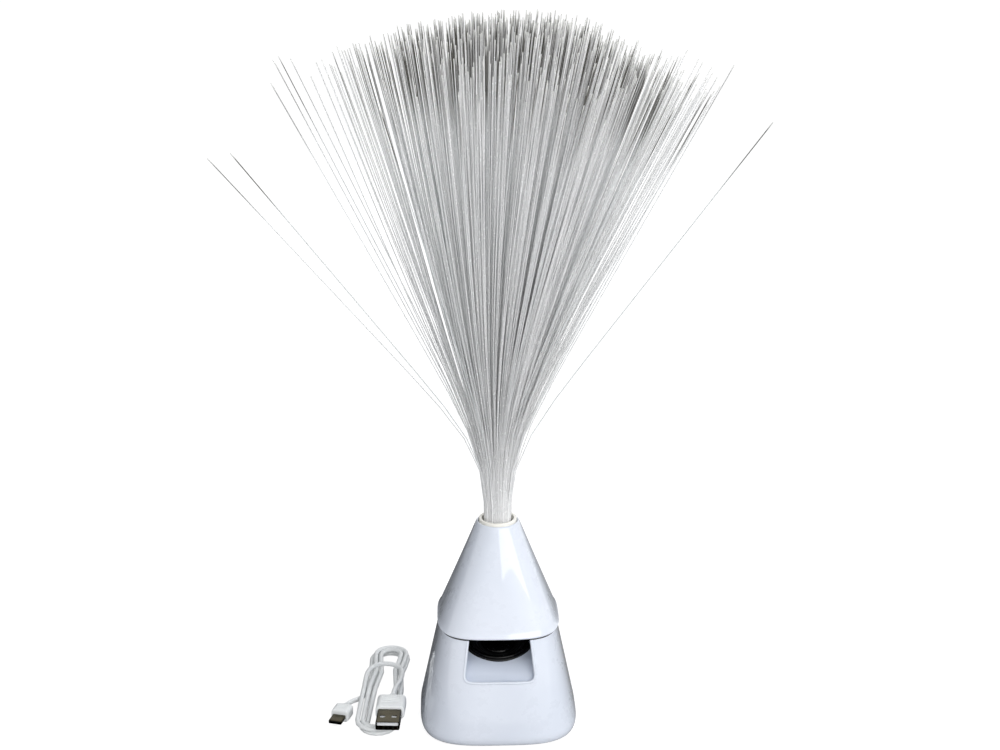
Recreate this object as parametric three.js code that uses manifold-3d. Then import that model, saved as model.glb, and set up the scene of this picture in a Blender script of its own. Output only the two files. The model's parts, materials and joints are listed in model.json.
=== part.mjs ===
// A rechargeable fibre optic lamp with a small speaker in its base, and its charging lead.
// Millimetres, +Z up, the lamp's axis on Z, the notch with the speaker facing -Y, standing on z = 0.

import * as THREE from 'three';
import { mergeVertices } from 'three/addons/utils/BufferGeometryUtils.js';
import Module from 'manifold-3d';

const wasm = await Module();
wasm.setup();

const { PI, abs, atan2, cos, exp, hypot, max, min, sin, sqrt, tan } = Math;
const degree = PI / 180;
const overrun = 4; // how far a cutting shape runs past what it cuts
const touch = 0.3; // gap between pieces that touch
const slip = 0.35; // gap round a piece that moves
const ringPoints = 32; // points round a housing section
const cornerSteps = 2; // steps round a small corner
const ringSteps = 8; // steps round the wall behind the speaker
const rounds = 20; // steps round a small turned piece

// Lower body: a shell of rounded square section, narrowing upwards. Widths are half widths.
const base = {
  edgeZ: 0.8, edgeInset: 2.1, bellyZ: 4.6, bellyHalf: 39.5, topZ: 54, topHalf: 29.1, wall: 2.2,
  squareness: 3.5,
};
// Upper cover: stands on the lower body and overhangs it, and ends round at the top.
const cover = {
  seam: 0.4, overhang: 1.4, topZ: 105.8, topHalf: 10.6, wall: 2.2, squareness: 3.4, roundness: 2,
  screwShare: 0.72, bossRadius: 3.4,
};
const collar = { bore: 7.9, wall: 1.55, rise: 0.8, length: 14, edge: 0.6 };
const notch = { topHalf: 15.5, bottomHalf: 18, bottomZ: 32.6, corner: 2.6 };

// Speaker, tilted forward on a deck whose scoop opens at the notch. Depths count down from its front face.
const speaker = {
  tilt: 15 * degree, y: -6.4, z: 44.7, radius: 18, flange: 1, seat: 2.1, ledgeDepth: 0.5, rimWall: 1,
  surroundIn: 14.4, surroundWall: 0.5, surroundRise: 1.2, basketIn: 11.5, basketDepth: 9.2, basketWall: 0.8,
  coneDrop: 0.9, coneDepth: 4.4, coneSkin: 0.6, capRadius: 8.6, capRise: 2.6, capSkin: 0.5,
  coilRadius: 4.9, coilWall: 0.45, coilLength: 7.4, magnetRadius: 11, magnetThick: 5, yokeThick: 1.6,
  poleRadius: 4,
};
const deck = {
  thick: 2.6, wallThick: 1.8, frontGap: 1.4, throat: 15.8, mouth: 18.2, ringGap: 0.6, footDrop: 0.3,
  leadHole: 2.6, leadHoleInset: 4.4,
};

// Black plate that closes the cover from below, with two posts for the light source
const floor = { thick: 3, postRadius: 2.4, postX: 11.6, sinkDepth: 1.9 };
const light = {
  boardRadius: 13.8, boardThick: 1.6, boardZ: 73, flangeThick: 2, tubeWall: 1.3, seatRise: 5, seatBore: 6.2,
  ledRadius: 2.5, ledHeight: 6.2,
};

// Fibre bundle: a sleeve, a plug of resin in four quarters, and fibres of one length
const fibre = {
  sleeveWall: 0.35, sleeveDrop: 2.2, potDrop: 0.6, count: 284, radius: 0.24, length: 250,
  spread: 23.4 * degree, lean: 3.6 * degree, straight: 30, bend: 42, sink: 0.8, edgeGap: 0.75,
  quarterShift: 0.4, leanShares: [0.2, 0.7, 1],
};
// Fibres that stray from the bundle: direction round the axis and lean, both in degrees
const strays = [
  [-146, 41], [-141.5, 39.5], [-155, 28.5], [178, 26.5], [165, 27.5], [-30, 36], [-38.5, 29.5], [-43, 30],
  [-72, 31], [-116, 30], [5, 29], [42, 30], [69, 29], [99, 32], [124, 29], [148, 31],
];

// Bottom cover with its pad
const bottom = {
  thick: 2.4, padInset: 12.3, padThick: 1.1, padSquareness: 4.5, screwInset: 4.2, bossRadius: 4.4,
};

// Screws: radii, and the depth that a shank goes into its boss
const screw = { shank: 1.4, hole: 1.75, head: 2.8, headThick: 1.5, bury: 9, bossDepth: 12 };
const smallScrew = { shank: 0.9, hole: 1.25, head: 1.8, headThick: 1.2, bury: 5 };
const bodyScrew = { wallInset: 4.3, y: 7, bossRadius: 3.6, bossTop: 44.3, bossDrop: 8, bury: 2.4 };

// Electronics: a board on four posts over the bottom cover, and the battery before it
const board = {
  length: 38.4, z: 15, thick: 1.6, postRadius: 2.4, postInset: 2.8, frontPostInset: 3.4, backPostInset: 7,
};
const battery = { sideGap: 17.6, frontGap: 4.6, postGap: 2, thick: 9, corner: 2.5 };
const socket = { half: 3.75, height: 2.7, depth: 5.6, wall: 0.35, mouthGap: 0.6, corner: 0.9 };
const slider = {
  x: -14, half: 4.4, height: 3.6, depth: 4, travel: 2.5, knobHalf: 1.9, knobHeight: 2.8, proud: 1.5,
};
const push = {
  x: 14, half: 3, height: 3.6, depth: 3.6, plungerRadius: 1.2, plunger: 0.9, radius: 2.6, travel: 0.8,
  proud: 1.1, flange: 0.7, flangeRadius: 3.3,
};
const status = { x: 7.4, radius: 0.85, length: 5 };
const lead = { radius: 0.8, sides: 6, steps: 12 };

// Charging lead: cord, hank and plugs. The hank's own directions are along its runs and to their right.
const cord = { diameter: 2.4, sides: 8 };
const hank = {
  x: -58.9, y: 19.4, lean: 3.7 * degree, halfLength: 46.4, innerHalf: 4.8, step: 2.85, loops: 4, drawIn: 2,
  waist: 17, waistLength: 10, lift: 0.05, stepsPerLoop: 24, sides: 6,
};
const usb = {
  half: 7.3, thick: 7.4, length: 17, corner: 2.4, shellHalf: 6, shellThick: 4.5, shellLength: 13,
  shellWall: 0.4, tongueThick: 1.9, tongueRecess: 1, neckRadius: 2.1, neckLength: 4, neckSink: 1,
};
const micro = {
  half: 4.6, thick: 6.4, length: 11, corner: 1.8, shellHalf: 3.4, shellThick: 1.9, shellLength: 6.5,
  shellWall: 0.3, tongueThick: 0.6, tongueRecess: 0.8, neckRadius: 1.9, neckLength: 3, neckSink: 1,
};

// Looks: colour, roughness, metalness
const looks = {
  housing: [0xe2e7f1, 0.22, 0], ivory: [0xe9e4d4, 0.35, 0], black: [0x17181a, 0.5, 0],
  gloss: [0x0b0b0c, 0.18, 0], rubber: [0x1d1d1e, 0.85, 0], steel: [0x9a9a98, 0.35, 1],
  shell: [0x7d7a70, 0.25, 1], board: [0x1d4a33, 0.5, 0], fibre: [0xc3c9c6, 0.2, 0],
  resin: [0x6f7472, 0.3, 0], magnet: [0x4a4b4d, 0.5, 0.6], cord: [0xeceff2, 0.4, 0],
  cell: [0x5a7fb0, 0.4, 0], copper: [0x9c5a34, 0.35, 1], led: [0xe8ecf0, 0.1, 0], red: [0x9a2b24, 0.45, 0],
};
const materials = {};
for (const [name, [color, roughness, metalness]] of Object.entries(looks)) {
  materials[name] = new THREE.MeshStandardMaterial({ name, color, roughness, metalness });
}

// Geometry helpers

function solid(geometry) {
  const bare = geometry.clone();
  bare.deleteAttribute('normal');
  bare.deleteAttribute('uv');
  const merged = mergeVertices(bare);
  const index = merged.index.array;
  const faces = [];
  for (let i = 0; i < index.length; i += 3) {
    const [a, b, c] = [index[i], index[i + 1], index[i + 2]];
    if (a !== b && b !== c && c !== a) faces.push(a, b, c);
  }
  return new wasm.Manifold(new wasm.Mesh({
    numProp: 3,
    vertProperties: new Float32Array(merged.attributes.position.array),
    triVerts: new Uint32Array(faces),
  }));
}

function geometryOf(shape) {
  const mesh = shape.getMesh();
  const geometry = new THREE.BufferGeometry();
  const places = new Float32Array(mesh.numVert * 3);
  for (let i = 0; i < mesh.numVert; i += 1) {
    for (let k = 0; k < 3; k += 1) places[i * 3 + k] = mesh.vertProperties[i * mesh.numProp + k];
  }
  geometry.setAttribute('position', new THREE.BufferAttribute(places, 3));
  geometry.setIndex(new THREE.BufferAttribute(new Uint32Array(mesh.triVerts), 1));
  geometry.computeVertexNormals();
  return geometry;
}

// A closed skin over rings of points. A wrapped one joins its last ring to its first, the others have caps.
function loft(rings, wrapped = false) {
  const count = rings[0].length;
  const points = rings.flat();
  const index = [];
  const bands = wrapped ? rings.length : rings.length - 1;
  for (let i = 0; i < bands; i += 1) {
    const low = i * count;
    const high = ((i + 1) % rings.length) * count;
    for (let j = 0; j < count; j += 1) {
      const k = (j + 1) % count;
      index.push(low + j, low + k, high + k, low + j, high + k, high + j);
    }
  }
  if (!wrapped) {
    const top = (rings.length - 1) * count;
    for (let j = 1; j < count - 1; j += 1) {
      index.push(0, j + 1, j, top, top + j, top + j + 1);
    }
  }
  const places = points.flatMap((p) => [p.x, p.y, p.z]);
  const geometry = new THREE.BufferGeometry();
  geometry.setAttribute('position', new THREE.Float32BufferAttribute(places, 3));
  geometry.setIndex(index);
  return geometry;
}

// A ring of points round Z, between a circle (squareness 2) and a square
function squareRing(half, squareness, z, count = ringPoints) {
  const ring = [];
  for (let i = 0; i < count; i += 1) {
    const angle = (i + 0.5) * 2 * PI / count;
    const [c, s] = [cos(angle), sin(angle)];
    const radius = half * (abs(c) ** squareness + abs(s) ** squareness) ** (-1 / squareness);
    ring.push(new THREE.Vector3(radius * c, radius * s, z));
  }
  return ring;
}

function block(x0, x1, y0, y1, z0, z1) {
  const geometry = new THREE.BoxGeometry(x1 - x0, y1 - y0, z1 - z0);
  geometry.translate((x0 + x1) / 2, (y0 + y1) / 2, (z0 + z1) / 2);
  return geometry;
}

function post(radius, z0, z1, x = 0, y = 0, sides = 16) {
  const geometry = new THREE.CylinderGeometry(radius, radius, z1 - z0, sides);
  geometry.rotateX(PI / 2);
  geometry.translate(x, y, (z0 + z1) / 2);
  return geometry;
}

// A closed profile of [radius, z] points turned round Z
function turned(profile, sides = 32) {
  let area = 0;
  profile.forEach(([r, z], i) => {
    const [nextR, nextZ] = profile[(i + 1) % profile.length];
    area += r * nextZ - nextR * z;
  });
  const ordered = area > 0 ? profile : [...profile].reverse();
  const points = [...ordered, ordered[0]].map(([r, z]) => new THREE.Vector2(r, z));
  const geometry = new THREE.LatheGeometry(points, sides);
  geometry.rotateX(PI / 2);
  return geometry;
}

// An outline in X and Z pushed along Y
function pushedAlongY(outline, y0, y1) {
  const options = { depth: y1 - y0, bevelEnabled: false, curveSegments: cornerSteps };
  const geometry = new THREE.ExtrudeGeometry(outline, options);
  geometry.rotateX(PI / 2);
  geometry.translate(0, y1, 0);
  return geometry;
}

// An outline in Y and Z pushed along X
function pushedAlongX(outline, x0, x1) {
  const geometry = new THREE.ExtrudeGeometry(outline, { depth: x1 - x0, bevelEnabled: false });
  geometry.rotateX(PI / 2);
  geometry.rotateZ(PI / 2);
  geometry.translate(x0, 0, 0);
  return geometry;
}

// An outline in X and Y pushed along Z
function pushedUp(outline, z0, z1, curveSegments = cornerSteps) {
  const geometry = new THREE.ExtrudeGeometry(outline, { depth: z1 - z0, bevelEnabled: false, curveSegments });
  geometry.translate(0, 0, z0);
  return geometry;
}

function polygon(points) {
  return new THREE.Shape(points.map(([x, y]) => new THREE.Vector2(x, y)));
}

function roundedOutline(halfX, halfY, corner) {
  const outline = new THREE.Shape();
  outline.moveTo(corner - halfX, -halfY);
  outline.lineTo(halfX - corner, -halfY);
  outline.absarc(halfX - corner, corner - halfY, corner, -PI / 2, 0);
  outline.lineTo(halfX, halfY - corner);
  outline.absarc(halfX - corner, halfY - corner, corner, 0, PI / 2);
  outline.lineTo(corner - halfX, halfY);
  outline.absarc(corner - halfX, halfY - corner, corner, PI / 2, PI);
  outline.lineTo(-halfX, corner - halfY);
  outline.absarc(corner - halfX, corner - halfY, corner, PI, 1.5 * PI);
  return outline;
}

function roundTube(points, radius, sides, steps) {
  const section = new THREE.Shape();
  for (let i = 0; i < sides; i += 1) {
    const angle = i * 2 * PI / sides;
    if (i) section.lineTo(radius * cos(angle), radius * sin(angle));
    else section.moveTo(radius, 0);
  }
  const places = points.map(([x, y, z]) => new THREE.Vector3(x, y, z));
  const path = new THREE.CatmullRomCurve3(places, false, 'centripetal');
  return new THREE.ExtrudeGeometry(section, { steps, extrudePath: path, bevelEnabled: false });
}

const root = new THREE.Group();

function piece(name, shape, look, parent = root) {
  const geometry = shape instanceof THREE.BufferGeometry ? shape : geometryOf(shape);
  const mesh = new THREE.Mesh(geometry, materials[look]);
  mesh.name = name;
  parent.add(mesh);
  return mesh;
}

// Outer half widths of the two shells at a height

const edgeHalf = base.bellyHalf - base.edgeInset;
const lowerSlope = (base.bellyHalf - base.topHalf) / (base.topZ - base.bellyZ);
const rimZ = base.topZ + cover.seam;
const rimHalf = base.topHalf + cover.overhang;
const coverSlope = (rimHalf - cover.topHalf) / (cover.topZ - rimZ);

function lowerHalf(z) {
  if (z >= base.bellyZ) return base.bellyHalf - lowerSlope * (z - base.bellyZ);
  const share = (base.bellyZ - z) / (base.bellyZ - base.edgeZ);
  return edgeHalf + (base.bellyHalf - edgeHalf) * sqrt(max(0, 1 - share * share));
}

function coverHalf(z) {
  return rimHalf - coverSlope * (z - rimZ);
}

function coverSquareness(z) {
  return cover.squareness + (cover.roundness - cover.squareness) * (z - rimZ) / (cover.topZ - rimZ);
}

// The space inside the lower shell, less a gap
function lowerInside(gap, z0, z1) {
  return solid(loft([z0, (z0 + z1) / 2, z1].map(
    (z) => squareRing(lowerHalf(z) - base.wall - gap, base.squareness, z),
  )));
}

// Places that several pieces share
const corners = [[1, 1], [-1, 1], [-1, -1], [1, -1]];
const bottomTopZ = base.edgeZ + bottom.thick;
const floorBottomZ = base.topZ + touch;
const floorTopZ = floorBottomZ + floor.thick;
const boardTopZ = board.z + board.thick;
const socketZ = boardTopZ + touch + socket.height / 2;
const sliderZ = boardTopZ + touch + slider.height / 2;
const pushZ = boardTopZ + touch + push.height / 2;
const socketY = wallY(base.wall, socket.half, socketZ + socket.height) - touch;
const sliderY = wallY(base.wall, slider.half - slider.x, sliderZ + slider.height) - touch;
const pushY = wallY(base.wall, push.x + push.flangeRadius, pushZ + push.height) - slip;
const pushBackY = pushY - push.flange - push.travel - slip;
const boardFrontY = pushBackY - board.length;
const boardPostYs = [boardFrontY + board.frontPostInset, pushBackY - board.backPostInset];
const bottomHalf = bodyInnerHalf(base.edgeZ) - touch;
const baseScrewPlace = bottomHalf * 2 ** (-1 / base.squareness) - bottom.screwInset;
const boardHalf = baseScrewPlace - bottom.bossRadius - touch;
const boardPostX = boardHalf - board.postInset;
const padHalf = bottomHalf - bottom.padInset;
const bodyScrewX = base.topHalf - base.wall - bodyScrew.wallInset;
const leadHoleY = base.topHalf - base.wall - deck.leadHoleInset;
const cellZ = bottomTopZ + touch;
const cellRoom = lowerHalf(cellZ + battery.thick) - base.wall;
const cellBackY = boardPostYs[0] - board.postRadius - battery.postGap;
const collarTopZ = cover.topZ + collar.rise;
const holderZ = light.boardZ + light.boardThick + touch;
const seatZ = holderZ + light.flangeThick + light.seatRise;
const collarBottomZ = collarTopZ - collar.length;

// How far back the lower body's wall reaches, some way in from its outside, at a place across and up
function wallY(inset, x, z) {
  const half = lowerHalf(z) - inset;
  return half * (1 - abs(x / half) ** base.squareness) ** (1 / base.squareness);
}

// A cylinder that points along Y
function pinAlongY(radius, y0, y1, x, z, sides = 16) {
  const geometry = new THREE.CylinderGeometry(radius, radius, y1 - y0, sides);
  geometry.translate(x, (y0 + y1) / 2, z);
  return geometry;
}

// A screw with its head down, its shank going up from z
function screwUp(size, x, y, z, length) {
  const profile = [[0, z - size.headThick], [size.head, z - size.headThick], [size.head, z], [size.shank, z],
    [size.shank, z + length - size.shank], [0, z + length]];
  const geometry = turned(profile, 8);
  geometry.translate(x, y, 0);
  return geometry;
}

// A screw with its head up, its shank going down from z
function screwDown(size, x, y, z, length) {
  const profile = [[0, z + size.headThick], [size.head, z + size.headThick], [size.head, z], [size.shank, z],
    [size.shank, z - length + size.shank], [0, z - length]];
  const geometry = turned(profile, 8);
  geometry.translate(x, y, 0);
  return geometry;
}

// A boss with a rib out to the wall, trimmed by the shell's middle skin
function boss(radius, x, y, z0, z1, ribAngle, skin) {
  const rib = block(0, hypot(x, y), -screw.shank, screw.shank, z0, z1);
  rib.rotateZ(ribAngle);
  rib.translate(x, y, 0);
  return solid(post(radius, z0, z1, x, y, 8)).add(solid(rib)).intersect(skin);
}

// Lower body

function notchOutline() {
  const lean = (notch.bottomHalf - notch.topHalf) / (base.topZ - notch.bottomZ);
  const topHalf = notch.topHalf - lean * overrun;
  const side = notch.bottomHalf - lean * notch.corner;
  const outline = new THREE.Shape();
  outline.moveTo(-topHalf, base.topZ + overrun);
  outline.lineTo(-side, notch.bottomZ + notch.corner);
  outline.quadraticCurveTo(-notch.bottomHalf, notch.bottomZ, notch.corner - notch.bottomHalf, notch.bottomZ);
  outline.lineTo(notch.bottomHalf - notch.corner, notch.bottomZ);
  outline.quadraticCurveTo(notch.bottomHalf, notch.bottomZ, side, notch.bottomZ + notch.corner);
  outline.lineTo(topHalf, base.topZ + overrun);
  return outline;
}

function rearCuts() {
  const [y0, y1] = [sliderY - overrun, base.bellyHalf + overrun];
  const mouth = socket.half + socket.mouthGap;
  const mouthHigh = socket.height / 2 + socket.mouthGap;
  const slot = slider.travel / 2 + slider.knobHalf + slip;
  const slotHigh = slider.knobHeight / 2 + slip;
  return solid(block(-mouth, mouth, y0, y1, socketZ - mouthHigh, socketZ + mouthHigh))
    .add(solid(block(slider.x - slot, slider.x + slot, y0, y1, sliderZ - slotHigh, sliderZ + slotHigh)))
    .add(solid(pinAlongY(push.radius + slip, y0, y1, push.x, pushZ)))
    .add(solid(pinAlongY(status.radius + touch, y0, y1, status.x, socketZ, 10)));
}

function makeLowerBody() {
  const heights = [base.edgeZ, (base.edgeZ + base.bellyZ) / 2, base.bellyZ, base.topZ];
  const outer = heights.map((z) => squareRing(lowerHalf(z), base.squareness, z));
  const inner = [base.topZ, base.bellyZ, base.edgeZ].map(
    (z) => squareRing(bodyInnerHalf(z), base.squareness, z),
  );
  const skin = solid(loft(heights.map((z) => squareRing(lowerHalf(z) - base.wall / 2, base.squareness, z))));
  let shell = solid(loft([...outer, ...inner], true));
  const bossBottomZ = bottomTopZ + touch + screw.headThick;
  const bossEndZ = bossBottomZ + screw.bossDepth;
  for (const [sx, sy] of corners) {
    const [x, y] = [sx * baseScrewPlace, sy * baseScrewPlace];
    shell = shell.add(boss(bottom.bossRadius, x, y, bossBottomZ, bossEndZ, atan2(sy, sx), skin));
    shell = shell.subtract(solid(post(screw.hole, bossBottomZ - overrun, bossBottomZ + screw.bury, x, y, 8)));
  }
  const bossLowZ = bodyScrew.bossTop - bodyScrew.bossDrop;
  for (const x of [bodyScrewX, -bodyScrewX]) {
    const { y, bossRadius, bossTop } = bodyScrew;
    shell = shell.add(boss(bossRadius, x, y, bossLowZ, bossTop, atan2(0, x), skin));
    shell = shell.subtract(solid(post(screw.hole, bossLowZ - overrun, bossTop + overrun, x, y, 8)));
  }
  const notchBackY = -base.topHalf + base.wall + overrun;
  const notchCut = pushedAlongY(notchOutline(), -base.bellyHalf - overrun, notchBackY);
  return shell.subtract(solid(notchCut)).subtract(rearCuts());
}

// The inside of the lower body runs straight down to its open bottom
function bodyInnerHalf(z) {
  return (z < base.bellyZ ? edgeHalf + base.wall / 2 : lowerHalf(z)) - base.wall;
}

// Upper cover and the plate that closes it

const coverScrewPlace = (coverHalf(floorTopZ + screw.bossDepth) - cover.wall) * cover.screwShare;

function makeUpperCover() {
  const bore = collar.bore + collar.wall + touch;
  const boreZ = cover.topZ - (bore + cover.wall - cover.topHalf) / coverSlope;
  const heights = [rimZ, ...[1, 2, 3].map((i) => rimZ + (boreZ - rimZ) * i / 4), boreZ, cover.topZ];
  const outer = heights.map((z) => squareRing(coverHalf(z), coverSquareness(z), z));
  const ringIn = (z, depth) => squareRing(coverHalf(z) - depth, coverSquareness(z), z);
  const inner = [...heights].reverse().map(
    (z) => (z < boreZ ? ringIn(z, cover.wall) : squareRing(bore, cover.roundness, z)),
  );
  const skin = solid(loft(heights.map((z) => ringIn(z, cover.wall / 2))));
  let shell = solid(loft([...outer, ...inner], true));
  const bossZ = floorTopZ + touch;
  for (const [sx, sy] of corners) {
    const [x, y] = [sx * coverScrewPlace, sy * coverScrewPlace];
    shell = shell.add(boss(cover.bossRadius, x, y, bossZ, bossZ + screw.bossDepth, atan2(sy, sx), skin));
    shell = shell.subtract(solid(post(screw.hole, bossZ - overrun, bossZ + screw.bury, x, y, 8)));
  }
  return shell;
}

function makeCoverFloor() {
  const rings = [floorBottomZ, floorTopZ].map(
    (z) => squareRing(coverHalf(z) - cover.wall - touch, cover.squareness, z),
  );
  let plate = solid(loft(rings));
  const postLowZ = floorTopZ - floor.thick / 2;
  for (const x of [floor.postX, -floor.postX]) {
    plate = plate.add(solid(post(floor.postRadius, postLowZ, light.boardZ - touch, x, 0, 8)));
    const holeZ = light.boardZ - smallScrew.bury;
    plate = plate.subtract(solid(post(smallScrew.hole, holeZ, light.boardZ + overrun, x, 0, 8)));
  }
  const holes = [[bodyScrewX, bodyScrew.y], [-bodyScrewX, bodyScrew.y]];
  const sinkTopZ = floorBottomZ + floor.sinkDepth;
  for (const [sx, sy] of corners) {
    const [x, y] = [sx * coverScrewPlace, sy * coverScrewPlace];
    holes.push([x, y]);
    plate = plate.subtract(solid(post(screw.head + touch, floorBottomZ - overrun, sinkTopZ, x, y, 8)));
  }
  for (const [x, y] of holes) {
    plate = plate.subtract(solid(post(screw.hole, floorBottomZ - overrun, floorTopZ + overrun, x, y, 8)));
  }
  return plate.subtract(leadHole());
}

// The way for the light's lead, through the deck and the cover's floor
function leadHole() {
  return solid(post(deck.leadHole, bodyScrew.bossTop, floorTopZ + overrun, 0, leadHoleY, 10));
}

// Bottom cover

function makeBottomCover() {
  let plate = solid(loft([base.edgeZ, bottomTopZ].map((z) => squareRing(bottomHalf, base.squareness, z))));
  const bossTopZ = bottomTopZ + screw.headThick;
  for (const [sx, sy] of corners) {
    const [x, y] = [sx * baseScrewPlace, sy * baseScrewPlace];
    plate = plate.add(solid(post(bottom.bossRadius, base.edgeZ + bottom.thick / 2, bossTopZ, x, y, 8)));
    plate = plate.subtract(solid(post(screw.head + touch, base.edgeZ - overrun, bottomTopZ, x, y, 8)));
    plate = plate.subtract(solid(post(screw.hole, base.edgeZ - overrun, bossTopZ + overrun, x, y, 8)));
  }
  const postLowZ = base.edgeZ + bottom.thick / 2;
  const holeLowZ = board.z - smallScrew.bury;
  for (const x of [boardPostX, -boardPostX]) {
    for (const y of boardPostYs) {
      plate = plate.add(solid(post(board.postRadius, postLowZ, board.z - touch, x, y, 8)));
      plate = plate.subtract(solid(post(smallScrew.hole, holeLowZ, board.z + overrun, x, y, 6)));
    }
  }
  const recess = [base.edgeZ - overrun, bottom.padThick + touch].map(
    (z) => squareRing(padHalf + touch, bottom.padSquareness, z),
  );
  return plate.subtract(solid(loft(recess)));
}

function makePad() {
  return loft([0, bottom.padThick].map((z) => squareRing(padHalf, bottom.padSquareness, z)));
}

// Speaker deck: the tilted plate, the scoop down to the notch and the wall round the speaker

function deckZ(y) {
  return speaker.z + (y - speaker.y) * tan(speaker.tilt);
}

function deckTopLine() {
  const kneeY = speaker.y - (speaker.radius + deck.frontGap) * cos(speaker.tilt);
  const footY = base.wall - lowerHalf(notch.bottomZ);
  const footZ = notch.bottomZ - deck.footDrop;
  const backY = base.bellyHalf;
  return [[-backY, footZ], [footY, footZ], [kneeY, deckZ(kneeY)], [backY, deckZ(backY)]];
}

function ringOutline(grow) {
  const frontY = -lowerHalf(notch.bottomZ);
  const radius = speaker.radius + deck.ringGap;
  const reach = sqrt(radius * radius - deck.throat * deck.throat);
  const start = atan2(-reach, deck.throat);
  const outline = new THREE.Shape();
  outline.moveTo(deck.mouth + grow, frontY);
  outline.lineTo((radius + grow) * cos(start), speaker.y + (radius + grow) * sin(start));
  outline.absarc(0, speaker.y, radius + grow, start, PI - start);
  outline.lineTo(-deck.mouth - grow, frontY);
  return outline;
}

function makeDeck() {
  const top = deckTopLine();
  const drop = deck.thick / cos(speaker.tilt);
  const [, foot, knee] = top;
  const underKneeY = knee[0] + deck.thick / 2;
  const under = [
    [base.bellyHalf, deckZ(base.bellyHalf) - drop], [underKneeY, deckZ(underKneeY) - drop],
    [foot[0] + deck.thick / 2, foot[1] - deck.thick], [-base.bellyHalf, foot[1] - deck.thick],
  ];
  const plate = solid(pushedAlongX(polygon([...top, ...under]), -base.bellyHalf, base.bellyHalf));
  const middle = top.map(([y, z]) => [y, z - deck.thick / 2]);
  const above = solid(pushedAlongX(
    polygon([...middle, [base.bellyHalf, 2 * base.topZ], [-base.bellyHalf, 2 * base.topZ]]),
    -base.bellyHalf, base.bellyHalf,
  ));
  const ring = solid(pushedUp(ringOutline(deck.wallThick), notch.bottomZ - overrun, base.topZ, ringSteps))
    .subtract(solid(pushedUp(ringOutline(0), notch.bottomZ - 2 * overrun, base.topZ + overrun, ringSteps)));
  const room = lowerInside(touch, notch.bottomZ - overrun, base.topZ - touch);
  const [seatIn, seatOut] = [speaker.radius - speaker.seat, speaker.radius + touch];
  const seatDepth = -speaker.flange - touch;
  const seat = turned([
    [0, -overrun], [seatIn, -overrun], [seatIn, seatDepth], [seatOut, seatDepth], [seatOut, deck.thick],
    [0, deck.thick],
  ], 28);
  seat.rotateX(speaker.tilt);
  seat.translate(0, speaker.y, speaker.z);
  let shape = plate.add(ring.intersect(above)).intersect(room).subtract(solid(seat));
  for (const x of [bodyScrewX, -bodyScrewX]) {
    const hole = post(screw.hole, bodyScrew.bossTop - overrun, base.topZ + overrun, x, bodyScrew.y, 8);
    shape = shape.subtract(solid(hole));
  }
  return shape.subtract(leadHole());
}

// Speaker

function coneZ(radius) {
  const coneOut = speaker.surroundIn - touch;
  const coneIn = speaker.coilRadius + touch;
  return -speaker.coneDrop - speaker.coneDepth * (coneOut - radius) / (coneOut - coneIn);
}

function makeSpeakerFrame() {
  const { radius, flange, rimWall, ledgeDepth, seat, basketIn, basketDepth, basketWall } = speaker;
  const neck = radius - seat - touch;
  const backIn = speaker.coilRadius + 3 * touch;
  return turned([
    [radius - rimWall, 0], [radius, 0], [radius, -flange], [neck, -flange],
    [basketIn + basketWall, -basketDepth], [basketIn + basketWall, -basketDepth - basketWall],
    [backIn, -basketDepth - basketWall], [backIn, -basketDepth],
    [basketIn, -basketDepth], [neck - basketWall, -flange], [neck - basketWall, -ledgeDepth],
    [radius - rimWall, -ledgeDepth],
  ], 24);
}

function makeSurround() {
  const { radius, rimWall, surroundIn, surroundWall, surroundRise, ledgeDepth } = speaker;
  const low = touch - ledgeDepth;
  const out = radius - rimWall - touch;
  const middle = (surroundIn + out) / 2;
  const half = (out - surroundIn) / 2;
  const steps = [0, 1, 2, 3];
  const over = steps.map((i) => [middle - half * cos(i * PI / 3), low + surroundRise * sin(i * PI / 3)]);
  const under = steps.map((i) => [
    middle + (half - surroundWall) * cos(i * PI / 3), low + (surroundRise - surroundWall) * sin(i * PI / 3),
  ]);
  return turned([...over, ...under], 24);
}

function makeCone() {
  const coneOut = speaker.surroundIn - touch;
  const coneIn = speaker.coilRadius + touch;
  return turned([
    [coneIn, coneZ(coneIn)], [coneOut, coneZ(coneOut)], [coneOut, coneZ(coneOut) - speaker.coneSkin],
    [coneIn, coneZ(coneIn) - speaker.coneSkin],
  ], 28);
}

function makeDustCap() {
  const { capRadius, capRise, capSkin } = speaker;
  const low = coneZ(capRadius) + touch;
  const steps = [0, 1, 2, 3];
  const over = steps.map((i) => [capRadius * cos(i * PI / 6), low + capRise * sin(i * PI / 6)]);
  const under = steps.map((i) => [
    (capRadius - capSkin) * sin(i * PI / 6), low + (capRise - capSkin) * cos(i * PI / 6),
  ]);
  const outside = [...over.slice(0, 3), [0, low + capRise]];
  return turned([...outside, ...under.slice(0, 3), [capRadius - capSkin, low]], rounds);
}

function tubePiece(inner, outer, z0, z1, sides = rounds) {
  return turned([[inner, z0], [outer, z0], [outer, z1], [inner, z1]], sides);
}

function makeYoke() {
  const low = -speaker.basketDepth - speaker.basketWall - speaker.magnetThick - 2 * touch;
  const { magnetRadius, poleRadius, yokeThick, basketDepth } = speaker;
  const yokeRadius = magnetRadius - yokeThick / 2;
  return turned([
    [0, low - yokeThick], [yokeRadius, low - yokeThick], [yokeRadius, low],
    [poleRadius, low], [poleRadius, -basketDepth], [0, -basketDepth],
  ], 16);
}

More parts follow.
